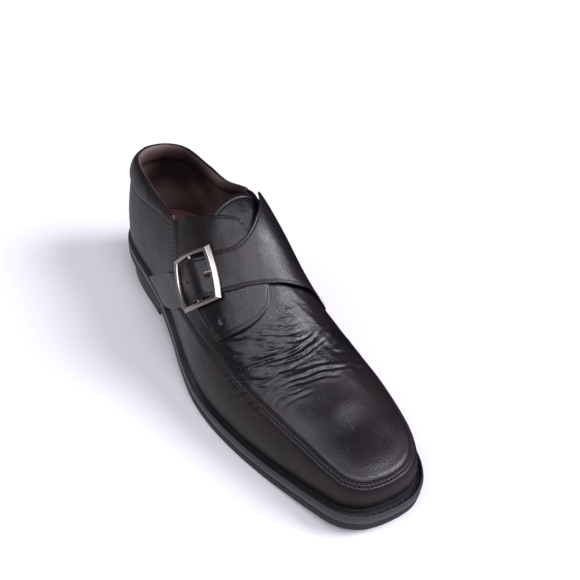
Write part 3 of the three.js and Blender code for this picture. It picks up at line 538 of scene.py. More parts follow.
def upperRelief(points, s, side, wrap):
    # the relief in metres, and masks of the recesses, where shade is painted into the colour, and of what
    # flexes
    look = upperLook
    relief, recessShade = creaseRelief(points)
    # the creases' troughs get a little painted shade
    recessShade = recessShade * 0.1
    # the apron seam
    signed, share = pathField(points, *pathRoundToe(seams["apron"]))
    fade = smooth(share, 0.0, 0.02) * (1 - smooth(share, 0.98, 1.0))
    rowGroove = bell(np.abs(signed) - look["stitchGap"], look["grooveWidth"])
    puff = sum(height * bell(signed - at, width) for height, at, width in look["puffs"])
    relief += fade * (look["seamRidge"] * bell(signed, 0.75 * mm) - look["grooveDepth"] * rowGroove + puff)
    # shade painted into the grooves under the stitch rows
    recessShade = np.maximum(recessShade, fade * rowGroove * 0.8)
    # the quarters lie over the vamp: behind is positive on their side of the seam
    for name, turn in quarterSeams:
        signed, share = pathField(points, *pathOnLast(seams[name], 120))
        behind = signed * turn
        fade = np.where(side == -turn, 1.0, 0.0) * smooth(share, 0.0, 0.03) * (1 - smooth(share, 0.94, 1.0))
        near = smooth(-np.abs(behind), -look["panelFade"][1], -look["panelFade"][0])
        relief += fade * near * look["panelStep"] * smooth(behind, -0.5 * mm, 0.4 * mm)
        relief -= fade * look["panelGroove"] * bell(behind + 0.6 * mm, 0.6 * mm)
        # shade painted into the groove before the quarter's edge
        recessShade = np.maximum(recessShade, fade * bell(behind + 0.5 * mm, 0.6 * mm))
    # the back seam, a groove between two soft ridges
    path, normals = pathOnLast(seams["backSeam"], 40)
    distance = np.abs(points[:, 1] - path[:, 1].mean())
    atBack = (s < 0.08).astype(float)
    relief -= atBack * look["backGroove"] * bell(distance, 0.5 * mm)
    relief += atBack * look["backRidge"] * bell(distance - 1.4 * mm, 1.0 * mm)
    # the wall tucks in where it meets the sole, and shade is painted there
    relief -= look["tuck"] * smooth(np.abs(wrap), 0.965, 1.0)
    recessShade = np.maximum(recessShade, smooth(np.abs(wrap), 0.95, 0.985))
    vamp = smooth(s, 0.42, 0.55) * (1 - smooth(s, 0.62, 0.74)) * (1 - smooth(np.abs(wrap), 0.5, 0.62))
    relief += vamp * sum(height * ripple(points, size, seed) for height, size, seed in look["vampWaves"])
    along = section("along", s)
    flex = smooth(along, 0.54, 0.62) * (1 - smooth(along, 0.71, 0.8)) * (1 - smooth(np.abs(wrap), 0.6, 0.8))
    return relief, {"recessShade": recessShade, "flex": flex * 0.35}


def roundToe(points):
    # the sections meet at one point on the toe's ridge: a smooth quartic height takes over round it
    reach = upperLook["toeReach"]
    pole = lastPoint(1.0, 0.0)
    away = np.hypot(points[:, 0] - pole[0], points[:, 1] - pole[1])
    near = (away < reach) & (points[:, 2] > pole[2] - 12 * mm)
    q = (points[near, :2] - pole[:2]) / reach
    terms = np.stack([q[:, 0] ** i * q[:, 1] ** j for i in range(5) for j in range(5 - i)], -1)
    fit = np.linalg.lstsq(terms, points[near, 2], rcond=None)[0]
    weight = 1 - smooth(away[near], 0.4 * reach, reach)
    rounded = points.copy()
    rounded[near, 2] += weight * (terms @ fit - points[near, 2])
    return rounded


def buildUpper(leather):
    look = upperLook

    def place(u, v):
        s, side, wrap = upperGrid(u, v)
        base = roundToe(lastPoint(s, side * wrap))
        relief, masks = upperRelief(base, s, side, wrap)
        relief *= smooth(np.linalg.norm(base - lastPoint(1.0, 0.0), axis=1), *look["poleFade"])
        height, size, seed = look["allOver"]
        relief += height * ripple(base, size, seed)
        return base + lastNormal(s, side * wrap) * relief[:, None], masks

    rows = look["wallRows"] + look["seamRows"] + look["topRows"]
    mesh = gridMesh("upper", 2 * look["stations"], rows, place, weld=0.02 * mm)
    piece = addPiece("upperLeather", mesh, [leather], ["upper"])
    thicken(piece, look["leather"])


def buildLining(lining):
    look = {"stations": 90, "rows": 30, "gap": 1.5 * mm, "thickness": 0.5 * mm, "below": 1.5 * mm}

    def place(u, v):
        s = 1 - np.abs(2 * u - 1)
        side = np.where(u <= 0.5, -1.0, 1.0)
        topWrap = toplineWrap(s, side)
        wrap = 1 + (topWrap - 1) * v
        base = lastPoint(s, side * wrap)
        quilt = 0.12 * mm * ripple(base, 30 * mm, 8)
        lower = look["below"] * smooth(v, 0.8, 1.0) * smooth(topWrap, 0, 0.1)
        point = base - lastNormal(s, side * wrap) * (look["gap"] + quilt)[:, None]
        point[:, 2] -= lower
        return point

    mesh = gridMesh("lining", 2 * look["stations"], look["rows"], place, weld=0.05 * mm)
    piece = addPiece("lining", mesh, [lining])
    thicken(piece, look["thickness"])


# The sole: each layer is one profile carried round the outline
soleLook = {"stations": 190, "heelStations": 60, "insoleStations": 110, "deep": 26 * mm, "flat": 9 * mm}


def soleSweep(name, profile, bottom, stations, stop=1.0):
    # profile rows: share of the welt's reach, fixed reach, share towards the middle line, height, any recess
    # (shade is painted into it, and it sinks only where the welt is sewn)
    table = np.array([(*row, 0)[:5] for row in profile], float)
    half = stations + 1
    count = 2 * half

    def place(u, v):
        column = np.rint(u * (count - 1)).astype(int)
        side = np.where(column < half, -1.0, 1.0)
        s = np.where(column < half, column, count - 1 - column) / stations * stop
        row = v * (len(table) - 1)
        k = np.rint(row).astype(int)
        reach = table[k, 0] * section("welt", s) * shoe["welt"] + table[k, 1]
        edge = outlinePoint(s, side, reach)
        other = outlinePoint(s, -side, reach)
        middle = table[k, 2][:, None]
        point = edge * (1 - middle / 2) + other * middle / 2
        sewn = smooth(section("along", s), 0.5, 0.64)
        height = np.where(table[k, 4] > 0, table[k, 3] * sewn + table[-1, 3] * (1 - sewn), table[k, 3])
        point[:, 2] = bottom(s) + height
        return point, {"recessShade": table[k, 4] * sewn}

    mesh = gridMesh(name, count - 1, len(table) - 1, place, weld=0.01 * mm)
    faceOut(mesh)
    return mesh


def arcRows(fromReach, toReach, fromHeight, toHeight, bulge, steps=5):
    # a rounded side between two heights
    rows = []
    for k in range(steps + 1):
        t = k / steps
        reach = fromReach + (toReach - fromReach) * t
        height = fromHeight + (toHeight - fromHeight) * t
        rows.append((reach, math.sin(math.pi * t) * bulge, 0, height))
    return rows


def buildOutsole(rubber):
    deep, flat = -soleLook["deep"], -soleLook["flat"]
    top = shoe["outsole"]
    profile = [
        (0, deep, 1.0, 0), (0, -18 * mm, 0.5, 0), (0, flat, 0, 0), (0, flat + 0.4 * mm, 0, 0.35 * mm),
        (0, flat + 1.2 * mm, 0, 0.35 * mm), (0, flat + 1.6 * mm, 0, 0), (0.78, 0, 0, 0),
        (0.9, 0, 0, 0.1 * mm), (0.965, 0, 0, 0.4 * mm),
        *arcRows(0.985, 0.99, 0.8 * mm, top - 0.9 * mm, 0.12 * mm),
        (0.965, 0, 0, top - 0.45 * mm), (0.9, 0, 0, top - 0.12 * mm), (0.8, 0, 0, top),
        (0, flat, 0, top), (0, deep, 1.0, top),
    ]
    mesh = soleSweep("outsole", profile, underside, soleLook["stations"])
    addPiece("outsoleRubber", mesh, [rubber], ["outsole"], sharp=40)


def buildWelt(welt):
    # from below: the rounded side, the raised bead, and the stitched trench beside the upper, with shade
    # painted into it
    deep, flat = -soleLook["deep"], -soleLook["flat"]
    top = shoe["midsole"]
    profile = [
        (0, deep, 1.0, 0), (0, flat, 0, 0), (0.84, 0, 0, 0), (0.93, 0, 0, 0.12 * mm),
        (0.975, 0, 0, 0.45 * mm),
        *arcRows(0.99, 0.985, 0.9 * mm, top - 1.3 * mm, 0.1 * mm),
        (0.965, 0, 0, top - 0.8 * mm), (0.91, 0, 0, top - 0.38 * mm), (0.87, 0, 0, top - 0.45 * mm),
        (0.85, 0, 0, top - 0.1 * mm), (0.83, 0, 0, top + 0.5 * mm, 0.01),
        (0.79, 0, 0, top + 0.85 * mm, 0.01), (0.73, 0, 0, top + 0.75 * mm, 0.05),
        (0.68, 0, 0, top + 0.1 * mm, 0.9), (0.66, 0, 0, top - 1.2 * mm, 1), (0.6, 0, 0, top - 2.2 * mm, 1),
        (0.3, 0, 0, top - 2.3 * mm, 1), (0.12, 0, 0, top - 2.2 * mm, 1), (0.06, 0, 0, top - 1.2 * mm, 1),
        (0.02, 0, 0, top, 1), (0, flat, 0, top), (0, deep, 1.0, top),
    ]

    def bottom(s):
        return underside(s) + (shoe["outsole"] + shoe["fit"])

    mesh = soleSweep("midsole", profile, bottom, soleLook["stations"])
    addPiece("weltRubber", mesh, [welt], ["midsole"], sharp=55)


def buildHeel(rubber):
    # drawn at the full height that it has under the heel, then lowered to the sole above each place
    look = {
        "height": 20.65 * mm,
        "top": 20.6 * mm,
        "shoulder": 20 * mm,
        "foot": 1.2 * mm,
        "sideHeight": 18.2 * mm,
    }
    inset = shoe["heelInset"]
    profile = [(1, -inset * 2, 1.0, 0), (1, -inset * 2, 0, 0), (1, -inset * 1.55, 0, 0.5 * mm)]
    for k in range(7):
        profile.append((1, -inset * (1.5 - 0.45 * k / 6), 0, look["foot"] + k / 6 * look["sideHeight"]))
    profile += [
        (1, -inset * 1.2, 0, look["shoulder"]), (1, -inset * 1.3, 0, look["top"]),
        (1, -inset * 2, 1.0, look["top"]),
    ]
    breast = float(stationAt(shoe["heelLength"] / shoe["lastLength"]))
    mesh = soleSweep("heel", profile, np.zeros_like, soleLook["heelStations"], stop=breast)
    points = meshPoints(mesh)
    s = stationAt((points[:, 0] - origin[0]) / shoe["lastLength"] + shoe["heelMiddle"])
    points[:, 2] *= (underside(s) - shoe["fit"]) / look["height"]
    movePoints(mesh, points)
    addPiece("heelBlock", mesh, [rubber], ["heel"], sharp=40)


def buildInsole(insole):
    deep = -soleLook["deep"]
    edge = -shoe["wall"] - 2 * shoe["fit"]
    top = shoe["fit"] + shoe["insole"]
    profile = [
        (0, deep, 1.0, shoe["fit"]), (0, edge, 0, shoe["fit"]), (0, edge, 0, top - 1.2 * mm),
        (0, edge - 0.5 * mm, 0, top - 0.5 * mm), (0, edge - 1.8 * mm, 0, top - 0.2 * mm),
        (0, edge - 3.4 * mm, 0, top), (0, edge - 5 * mm, 0, top + 0.1 * mm), (0, edge - 6 * mm, 0, top),
        (0, edge - 9 * mm, 0, top - 0.2 * mm), (0, edge - 14 * mm, 0, top - 0.35 * mm),
        (0, edge - 22 * mm, 0.6, top - 0.4 * mm), (0, deep, 1.0, top - 0.4 * mm),
    ]
    mesh = soleSweep("insole", profile, bed, soleLook["insoleStations"])
    addPiece("insoleLeather", mesh, [insole], ["insole"])
    look = {"along": 0.125, "length": 52 * mm, "width": 43 * mm, "thickness": 1.2 * mm, "edge": 0.5 * mm}
    x = (look["along"] - shoe["heelMiddle"]) * shoe["lastLength"]
    spot = Vector((x, 0, float(bed(0.2)) + top + look["thickness"] * 0.2)) + Vector(origin)
    size = Matrix.Diagonal((look["length"] / 2, look["width"] / 2, 1, 1))
    bm = bmesh.new()
    bmesh.ops.create_cone(
        bm, cap_ends=True, segments=72, radius1=1, radius2=0.97, depth=look["thickness"],
        matrix=Matrix.Translation(spot) @ size,
    )
    rim = [e for e in bm.edges if all(v.co.z > spot.z for v in e.verts)]
    bmesh.ops.bevel(bm, geom=rim, offset=look["edge"], segments=3, profile=0.5, affect="EDGES", material=-1)
    addPiece("heelPad", meshOf(bm, "heelPad"), [insole], sharp=50)


# The collar: a padded roll over the topline, whose depth below it is in mm and tapers towards both ends
collarLook = {
    "frontLateral": 0.3,
    "frontMedial": 0.335,
    "depth": 12,
    "taper": 0.72,
    "taperFrom": 0.55,
    "steps": 240,
    "around": 108,
    "liningFrom": 0.375,
    "liningTo": 0.85,
}


def toplinePoint(p, down, out):
    # p runs from -1 at the collar's lateral end over 0 at the back to 1 at its medial end
    side = np.where(p < 0, -1.0, 1.0)
    front = np.where(side < 0, stationAt(collarLook["frontLateral"]), stationAt(collarLook["frontMedial"]))
    s = np.abs(p) * front
    edge = np.where(side < 0, section("edgeLateral", s), section("edgeMedial", s))
    step = 0.02
    span = lastPoint(s, side * (1 - edge)) - lastPoint(s, side * (1 - edge + step))
    wrap = side * (1 - edge + down / (np.linalg.norm(span, axis=-1) / step))
    return offsetPoint(s, wrap, out)


def collarTaper(p):
    return 1 - collarLook["taper"] * smooth(np.abs(p), collarLook["taperFrom"], 1.0)


def buildCollar(leather, lining):
    look = collarLook
    depth = look["depth"]
    # down below the topline and out from the wall, in mm, round the roll from the outer seam to the inner one
    roll = [
        (depth, 0.15), (11.6, 0.75), (10.6, 1.15), (8.5, 1.65), (6, 1.85), (3.5, 1.8), (1, 1.45),
        (-1, 0.85), (-2.3, -0.2), (-2.75, -1.4), (-2.3, -2.7), (-1, -4), (1, -4.8), (3.5, -5.1),
        (6, -5), (8.5, -4.4), (10.6, -3.5), (11.6, -2.9), (depth, -2.4), (8, -2.1), (2, -2.1),
        (-0.9, -1.6), (-0.9, -0.4), (2, 0.1), (8, 0.1), (depth, 0.15),
    ]
    down, out = np.array(roll, float).T

    def place(u, v):
        p = 2 * u - 1
        endFade = 1 - smooth(np.abs(p), 0.7, 1.0) * 0.85
        d, o = spline(down, v), spline(out, v)
        d = np.where(d > 0, d * collarTaper(p), d)
        # the roll thins towards its own middle, 1 mm inside the wall's face
        o = -1.0 + (o + 1.0) * (0.35 + 0.65 * endFade)
        outer = smooth(o, -1.0, 1.2)
        point = toplinePoint(p, d * mm, o * mm)
        wrinkle = 0.05 * ripple(point, 9 * mm, 11) + 0.12 * ripple(point, 24 * mm, 12)
        return toplinePoint(p, d * mm, (o + outer * wrinkle) * mm)

    mesh = gridMesh("collar", look["steps"], look["around"], place, weld=0.02 * mm)
    bm = bmesh.new()
    bm.from_mesh(mesh)
    bmesh.ops.holes_fill(bm, edges=[e for e in bm.edges if e.is_boundary], sides=0)
    bmesh.ops.recalc_face_normals(bm, faces=bm.faces)
    layer = bm.loops.layers.uv.active
    for face in bm.faces:
        across = sum(loop[layer].uv.y for loop in face.loops) / len(face.loops)
        face.material_index = 1 if look["liningFrom"] < across < look["liningTo"] else 0
    bm.to_mesh(mesh)
    bm.free()
    piece = addPiece("collarPadding", mesh, [leather, lining], ["collar"])


def buildHeelTab(leather):
    look = {"width": 13 * mm, "top": 2.2 * mm, "length": 24 * mm, "stand": 2.3 * mm, "thickness": 1.5 * mm}
    quarter = np.linalg.norm(lastPoint(0.0, -0.6) - lastPoint(stationAt(0.3), -0.6))
    reach = look["width"] / 2 / quarter

    def place(u, v):
        corner = 1 - 0.35 * np.clip((v - 0.8) / 0.2, 0, 1) ** 2
        p = (2 * u - 1) * reach * corner
        down = look["top"] + v * (look["length"] - look["top"])
        out = look["stand"] + look["thickness"] - 0.9 * mm * smooth(v, 0.45, 0.75)
        out = out - 0.25 * mm * bell(np.abs(2 * u - 1) - 0.72, 0.1)
        return toplinePoint(p, down, out)

    mesh = gridMesh("heelTab", 30, 46, place)
    piece = addPiece("heelTabLeather", mesh, [leather], ["heel_tab"])
    thicken(piece, look["thickness"] * 0.8, 0.3 * mm)


# The leather pieces on the upper: a row across each, from its back edge to its front one, as (along, wrap)
# twice; the strap's last column is how far it lies over the facing there
bandColumns = "backAlong backWrap frontAlong frontWrap over".split()
strapTable = [
    (0.5, 0.56, 0.612, 0.54, 0),
    (0.445, 0.46, 0.605, 0.45, 0),
    (0.398, 0.355, 0.598, 0.36, 0.3),
    (0.388, 0.265, 0.594, 0.27, 0.8),
    (0.425, 0.135, 0.589, 0.165, 1),
    (0.459, 0.01, 0.58, 0.055, 1),
    (0.479, -0.12, 0.569, -0.075, 1),
    (0.481, -0.235, 0.557, -0.195, 1),
    (0.468, -0.335, 0.546, -0.305, 1),
    (0.452, -0.43, 0.53, -0.415, 1),
    (0.431, -0.53, 0.511, -0.53, 1),
    (0.409, -0.63, 0.489, -0.645, 1),
    (0.398, -0.68, 0.477, -0.705, 1),
]
facingTable = [
    (0.4, -0.7, 0.586, -0.567),
    (0.385, -0.64, 0.6, -0.47),
    (0.368, -0.585, 0.61, -0.37),
    (0.352, -0.545, 0.613, -0.28),
    (0.343, -0.485, 0.609, -0.195),
    (0.376, -0.4, 0.598, -0.13),
    (0.405, -0.297, 0.572, -0.092),
    (0.43, -0.18, 0.532, -0.08),
    (0.449, -0.11, 0.478, -0.09),
]
anchorTable = [
    (0.245, -0.985, 0.335, -0.99),
    (0.3, -0.89, 0.396, -0.885),
    (0.352, -0.79, 0.45, -0.755),
    (0.4, -0.69, 0.48, -0.66),
    (0.434, -0.59, 0.5, -0.57),
]
bandLook = {
    "strap": 1.7 * mm,
    "facing": 1.3 * mm,
    "anchor": 1.3 * mm,
    # the radius of the buckle's middle bar, which the strap runs over
    "middleBar": 1.0 * mm,
    "stitchIn": 2.1 * mm,
    "anchorStitchIn": 1.8 * mm,
    "sink": 0.28 * mm,
    "holeBehind": 4.6 * mm,
    # the facing's box tack: its middle as shares along and across, and its half sizes
    "tackAt": (0.08, 0.85),
    "tackSize": (4.6 * mm, 2.8 * mm),
}
bandStand = shoe["fit"]
overFacing = bandStand + bandLook["facing"] + shoe["fit"]


def columnsOf(rows):
    table = np.array(rows, float)
    return dict(zip(bandColumns, table.T))


def bandPlace(columns, t, across, height):
    along = spline(columns["backAlong"], t) * (1 - across) + spline(columns["frontAlong"], t) * across
    wrap = spline(columns["backWrap"], t) * (1 - across) + spline(columns["frontWrap"], t) * across
    return offsetPoint(stationAt(along), wrap, height)


strapRows = columnsOf(strapTable)
facingRows = columnsOf(facingTable)
anchorRows = columnsOf(anchorTable)


def bandSpot(columns, *place):
    # one point of a band: its shares along and across, and its height
    return bandPlace(columns, *(np.array([value], float) for value in place))[0]


def strapSpot(*place):
    return bandSpot(strapRows, *place)


# The buckle's place along the strap, the share of the strap's length that a metre is there, and its width
buckleAt = 0.84
strapUnit = 0.01 / np.linalg.norm(strapSpot(buckleAt, 0.5, 0) - strapSpot(buckleAt - 0.01, 0.5, 0))
strapWidth = np.linalg.norm(strapSpot(buckleAt, 0, 4 * mm) - strapSpot(buckleAt, 1, 4 * mm))


def strapStand(t):
    # the height of the strap's inner face: over the facing, the anchor and the buckle's middle bar
    layers = np.clip(spline(strapRows["over"], t), 0, 1)
    past = (t - buckleAt) / strapUnit / mm
    anchorClimb = (bandLook["anchor"] + shoe["fit"]) * smooth(past, -12, -4)
    barClimb = 2 * (bandLook["middleBar"] + shoe["fit"]) * np.exp(-((past / np.where(past < 0, 8, 6)) ** 2))
    return bandStand * (1 - layers) + overFacing * layers + anchorClimb + barClimb


def strapTop(t):
    return float(strapStand(np.array([t]))[0]) + bandLook["strap"]


def facingStand(t):
    return bandStand + 0 * t


def anchorStand(t):
    return bandStand + (overFacing - bandStand) * smooth(t, 0.42, 0.72)


def edgeDistances(columns, t, across, count=41):
    # distance in metres of each place from the band's back, front, first and last edges
    rows = np.linspace(0, 1, count)
    back = bandPlace(columns, rows, np.zeros(count), np.zeros(count))
    front = bandPlace(columns, rows, np.ones(count), np.zeros(count))
    middle = (back + front) / 2
    width = np.interp(t, rows, np.linalg.norm(back - front, axis=-1))
    run = np.concatenate([[0], np.cumsum(np.linalg.norm(np.diff(middle, axis=0), axis=-1))])
    length = np.interp(t, rows, run)
    return across * width, (1 - across) * width, length, run[-1] - length


def edgeShape(distance, inset):
    # the skived, turned edge, rounded down, with the pull of a stitch row beside it
    turned = -0.35 * mm * (1 - smooth(distance, 0, 1.1 * mm))
    return turned - bandLook["sink"] * bell(distance - inset, 0.55 * mm)


def rowRecessShade(distance, inset):
    # painted shade along a stitch row, inset from an edge
    return 0.4 * bell(distance - inset, 0.5 * mm)


def buildStrap(leather):
    look = bandLook
    holeAt = buckleAt + look["holeBehind"] * strapUnit
    holeSpot = strapSpot(holeAt, 0.5, strapTop(holeAt))

    def place(u, v):
        back, front, _, end = edgeDistances(strapRows, u, v)
        height = strapStand(u) + look["strap"] * (1 - 0.45 * (1 - smooth(u, 0.02, 0.22)))
        for distance in (back, front, end):
            height = height + edgeShape(distance, look["stitchIn"])
        base = bandPlace(strapRows, u, v, height)
        wave = 0.1 * mm * ripple(base, 30 * mm, 21) * smooth(u, 0.1, 0.3)
        # the folds of the leather over the instep
        fold = 0.07 * mm * ripple(base, 11 * mm, 22) * smooth(u, 0.3, 0.42) * (1 - smooth(u, 0.6, 0.72))
        # painted shade along the stitch rows
        recessShade = rowRecessShade(np.minimum(np.minimum(back, front), end), look["stitchIn"])
        hole = np.linalg.norm(base - holeSpot, axis=-1)
        height = height + wave + fold - 1.0 * mm * (1 - smooth(hole, 0.5 * mm, 1.0 * mm))
        # the prong's hole is painted dark as shade
        recessShade = np.maximum(recessShade, 1 - smooth(hole, 0.6 * mm, 1.1 * mm))
        return bandPlace(strapRows, u, v, height), {"recessShade": recessShade}

    mesh = gridMesh("strap", 230, 64, place)
    piece = addPiece("strapLeather", mesh, [leather], ["strap"])
    thicken(piece, look["strap"] * 0.86, 0.4 * mm)


def tackFrame(columns, centre, step=(0.02, 0.03)):
    # the middle of a small stitched box, and the way from it for a step along and a step across the band
    spot = bandSpot(columns, centre[0], centre[1], 0)
    ahead = bandSpot(columns, centre[0] + step[0], centre[1], 0) - spot
    sideways = bandSpot(columns, centre[0], centre[1] + step[1], 0) - spot
    return spot, ahead, sideways, step


def boxTack(columns, t, across, centre, size):
    # masks of such a box: its stitch line, and its raised middle
    spot, ahead, sideways, _ = tackFrame(columns, centre)
    away = bandPlace(columns, t, across, np.zeros_like(t)) - spot
    reach = np.maximum(np.abs(away @ unit(ahead)) / size[0], np.abs(away @ unit(sideways)) / size[1])
    return bell(reach - 1, 0.2), 1 - smooth(reach, 0.5, 0.8)


def boxTackPath(columns, centre, size, height, count=161):
    # the path of its thread, round its four sides
    _, ahead, sideways, step = tackFrame(columns, centre)
    turn = np.linspace(0, 4, count)
    x = np.interp(turn, [0, 1, 2, 3, 4], [-1, 1, 1, -1, -1]) * size[0] / (np.linalg.norm(ahead) / step[0])
    y = np.interp(turn, [0, 1, 2, 3, 4], [-1, -1, 1, 1, -1]) * size[1] / (np.linalg.norm(sideways) / step[1])
    return bandRow(columns, centre[0] + x, centre[1] + y, np.full(count, height))


def buildFacing(leather):
    look = bandLook

    def place(u, v):
        distances = edgeDistances(facingRows, u, v)
        height = facingStand(u) + look["facing"]
        for distance in distances:
            height = height + edgeShape(distance, look["stitchIn"])
        line, middle = boxTack(facingRows, u, v, look["tackAt"], look["tackSize"])
        height = height - 0.5 * mm * line + 0.4 * mm * middle
        base = bandPlace(facingRows, u, v, height)
        # painted shade along the stitch rows and the box tack's line
        recessShade = np.maximum(rowRecessShade(np.minimum.reduce(distances), look["stitchIn"]), 0.8 * line)
        height = height + 0.08 * mm * ripple(base, 14 * mm, 31)
        return bandPlace(facingRows, u, v, height), {"recessShade": recessShade}

    mesh = gridMesh("facing", 130, 120, place)
    piece = addPiece("facingLeather", mesh, [leather], ["facing"])
    thicken(piece, look["facing"] * 0.85, 0.35 * mm)


def buildAnchor(leather):
    look = bandLook

    def place(u, v):
        back, front, _, _ = edgeDistances(anchorRows, u, v)
        height = anchorStand(u) + look["anchor"] - 0.3 * mm * (1 - smooth(u, 0, 0.06))
        for distance in (back, front):
            height = height + edgeShape(distance, look["anchorStitchIn"])
        return bandPlace(anchorRows, u, v, height)

    mesh = gridMesh("anchor", 90, 44, place)
    piece = addPiece("anchorLeather", mesh, [leather], ["anchor"])
    thicken(piece, look["anchor"] * 0.85, 0.35 * mm)


# The tongue: rows from its root to its end
tongueColumns = {
    "along": np.array([0.58, 0.52, 0.46, 0.42, 0.4, 0.394]),
    "lateral": np.array([0.34, 0.38, 0.42, 0.42, 0.36, 0.26]),
    "medial": np.array([0.3, 0.32, 0.33, 0.32, 0.26, 0.16]),
}
tongueLook = {
    "thickness": 2.2 * mm,
    "under": shoe["wall"] + 3 * shoe["fit"],
    "stitchIn": 3.0 * mm,
    "stitchDown": 0.3 * mm,
}


def tonguePlace(t, across, height):
    s = stationAt(spline(tongueColumns["along"], t))
    lateral, medial = -spline(tongueColumns["lateral"], t), spline(tongueColumns["medial"], t)
    return offsetPoint(s, lateral * (1 - across) + medial * across, height)


def tongueBorder():
    # up the lateral edge, over the rounded end and down the medial one
    sideCount, endCount = 160, 100
    up = np.linspace(0.1, 1, sideCount)
    t = np.concatenate([up, np.ones(endCount), up[::-1]])
    across = np.concatenate([np.zeros(sideCount), np.linspace(0, 1, endCount), np.ones(sideCount)])
    path = tonguePlace(t, across, np.full(len(t), -tongueLook["under"]))
    above = tonguePlace(t, across, np.full(len(t), 1 * mm - tongueLook["under"]))
    keep = np.concatenate([[True], np.linalg.norm(np.diff(path, axis=0), axis=-1) > 0.05 * mm])
    return path[keep], unit(above - path)[keep]


def buildTongue(leather):
    look = tongueLook

    def place(u, v):
        surface = tonguePlace(u, v, np.full(len(u), -look["under"]))
        distance = np.abs(pathField(surface, *tongueBorder())[0])
        row = bell(distance - look["stitchIn"], 0.7 * mm)
        height = -look["under"] - 0.8 * mm * (1 - smooth(distance, 0, 1.6 * mm)) - 0.35 * mm * row
        # painted shade along the stitch row
        return tonguePlace(u, v, height), {"recessShade": 0.4 * row}

    mesh = gridMesh("tongue", 110, 90, place)
    piece = addPiece("tongueLeather", mesh, [leather], ["tongue"])
    thicken(piece, look["thickness"] * 0.8, 0.5 * mm, segments=3)


# Stitches: small rounded threads laid along a path. Their spacing, length and width, and how far they sink in
stitchLook = {
    "apron": (2.4 * mm, 1.6 * mm, 0.9 * mm, -0.04 * mm),
    "quarter": (2.3 * mm, 1.5 * mm, 0.7 * mm, 0.1 * mm),
    "strap": (2.4 * mm, 1.55 * mm, 0.72 * mm, -0.05 * mm),
    "facing": (2.4 * mm, 1.55 * mm, 0.7 * mm, -0.05 * mm),
    "anchor": (2.4 * mm, 1.55 * mm, 0.7 * mm, -0.05 * mm),
    "tack": (1.9 * mm, 1.4 * mm, 0.75 * mm, -0.1 * mm),
    "tongue": (2.4 * mm, 1.55 * mm, 0.75 * mm, 0.0),
    "collar": (2.3 * mm, 1.5 * mm, 0.55 * mm, 0.0),
    "welt": (4.2 * mm, 3.0 * mm, 1.0 * mm, 0.0),
}
# The quarters' rows lie this far behind the seam and above the last, the collar's this far below its edge
quarterStitch = {"behind": 1.7 * mm, "above": 0.85 * mm}
collarStitch = {"below": 1.2, "above": 0.12 * mm, "points": 420}
# The welt's thread: where it starts on each side, its share of the welt's reach, and how deep it lies
weltStitch = {"lateralFrom": 0.6, "medialFrom": 0.62, "across": 0.43, "down": 1.75 * mm, "points": 260}
turnAlong = Matrix.Rotation(math.radians(90), 4, "Y")


def evenly(path, normals, spacing, start=0.0, stop=1.0):
    run = np.concatenate([[0], np.cumsum(np.linalg.norm(np.diff(path, axis=0), axis=-1))])
    count = max(2, int((stop - start) * run[-1] / spacing))
    at = np.linspace(start, stop, count) * run[-1]
    place = np.stack([np.interp(at, run, path[:, k]) for k in range(3)], -1)
    normal = unit(np.stack([np.interp(at, run, normals[:, k]) for k in range(3)], -1))
    return place, unit(np.gradient(place, axis=0)), normal


def sewRow(rows, path, normals, kind, start=0.0, stop=1.0):
    # each row is a mesh of its own, because a bmesh of all of them would grow slow
    spacing, length, width, sink = stitchLook[kind]
    size = Matrix.Diagonal((length / 2, width / 2, width * 0.42, 1)) @ turnAlong
    bm = bmesh.new()
    for place, tangent, up in zip(*evenly(path, normals, spacing, start, stop)):
        sideways = unit(np.cross(up, tangent))
        axes = axesOf(tangent, sideways, np.cross(tangent, sideways))
        spot = Matrix.Translation(Vector(place - up * sink))
        bmesh.ops.create_uvsphere(bm, u_segments=6, v_segments=4, radius=1, matrix=spot @ axes @ size)
    rows.append(meshOf(bm, "stitchRow"))


def leftOf(path, normals):
    return unit(np.cross(normals, unit(np.gradient(path, axis=0))))


def bandRow(columns, t, across, height):
    path = bandPlace(columns, t, across, height)
    above = bandPlace(columns, t, across, height + 1 * mm)
    return path, unit(above - path)


def sewBand(rows, kind, columns, stand, inset, edgeRows, endRow=None):
    # a row inside the back edge, one inside the front edge, and one across an end if it is given
    lift = bandLook[kind] - bandLook["sink"]
    count, low, high = edgeRows
    t = np.linspace(low, high, count)
    share = inset / edgeDistances(columns, t, np.ones(count))[0]
    for across in (share, 1 - share):
        sewRow(rows, *bandRow(columns, t, across, stand(t) + lift), kind)
    if endRow:
        count, at, low, high = endRow
        t = np.full(count, at)
        sewRow(rows, *bandRow(columns, t, np.linspace(low, high, count), stand(t) + lift), kind)


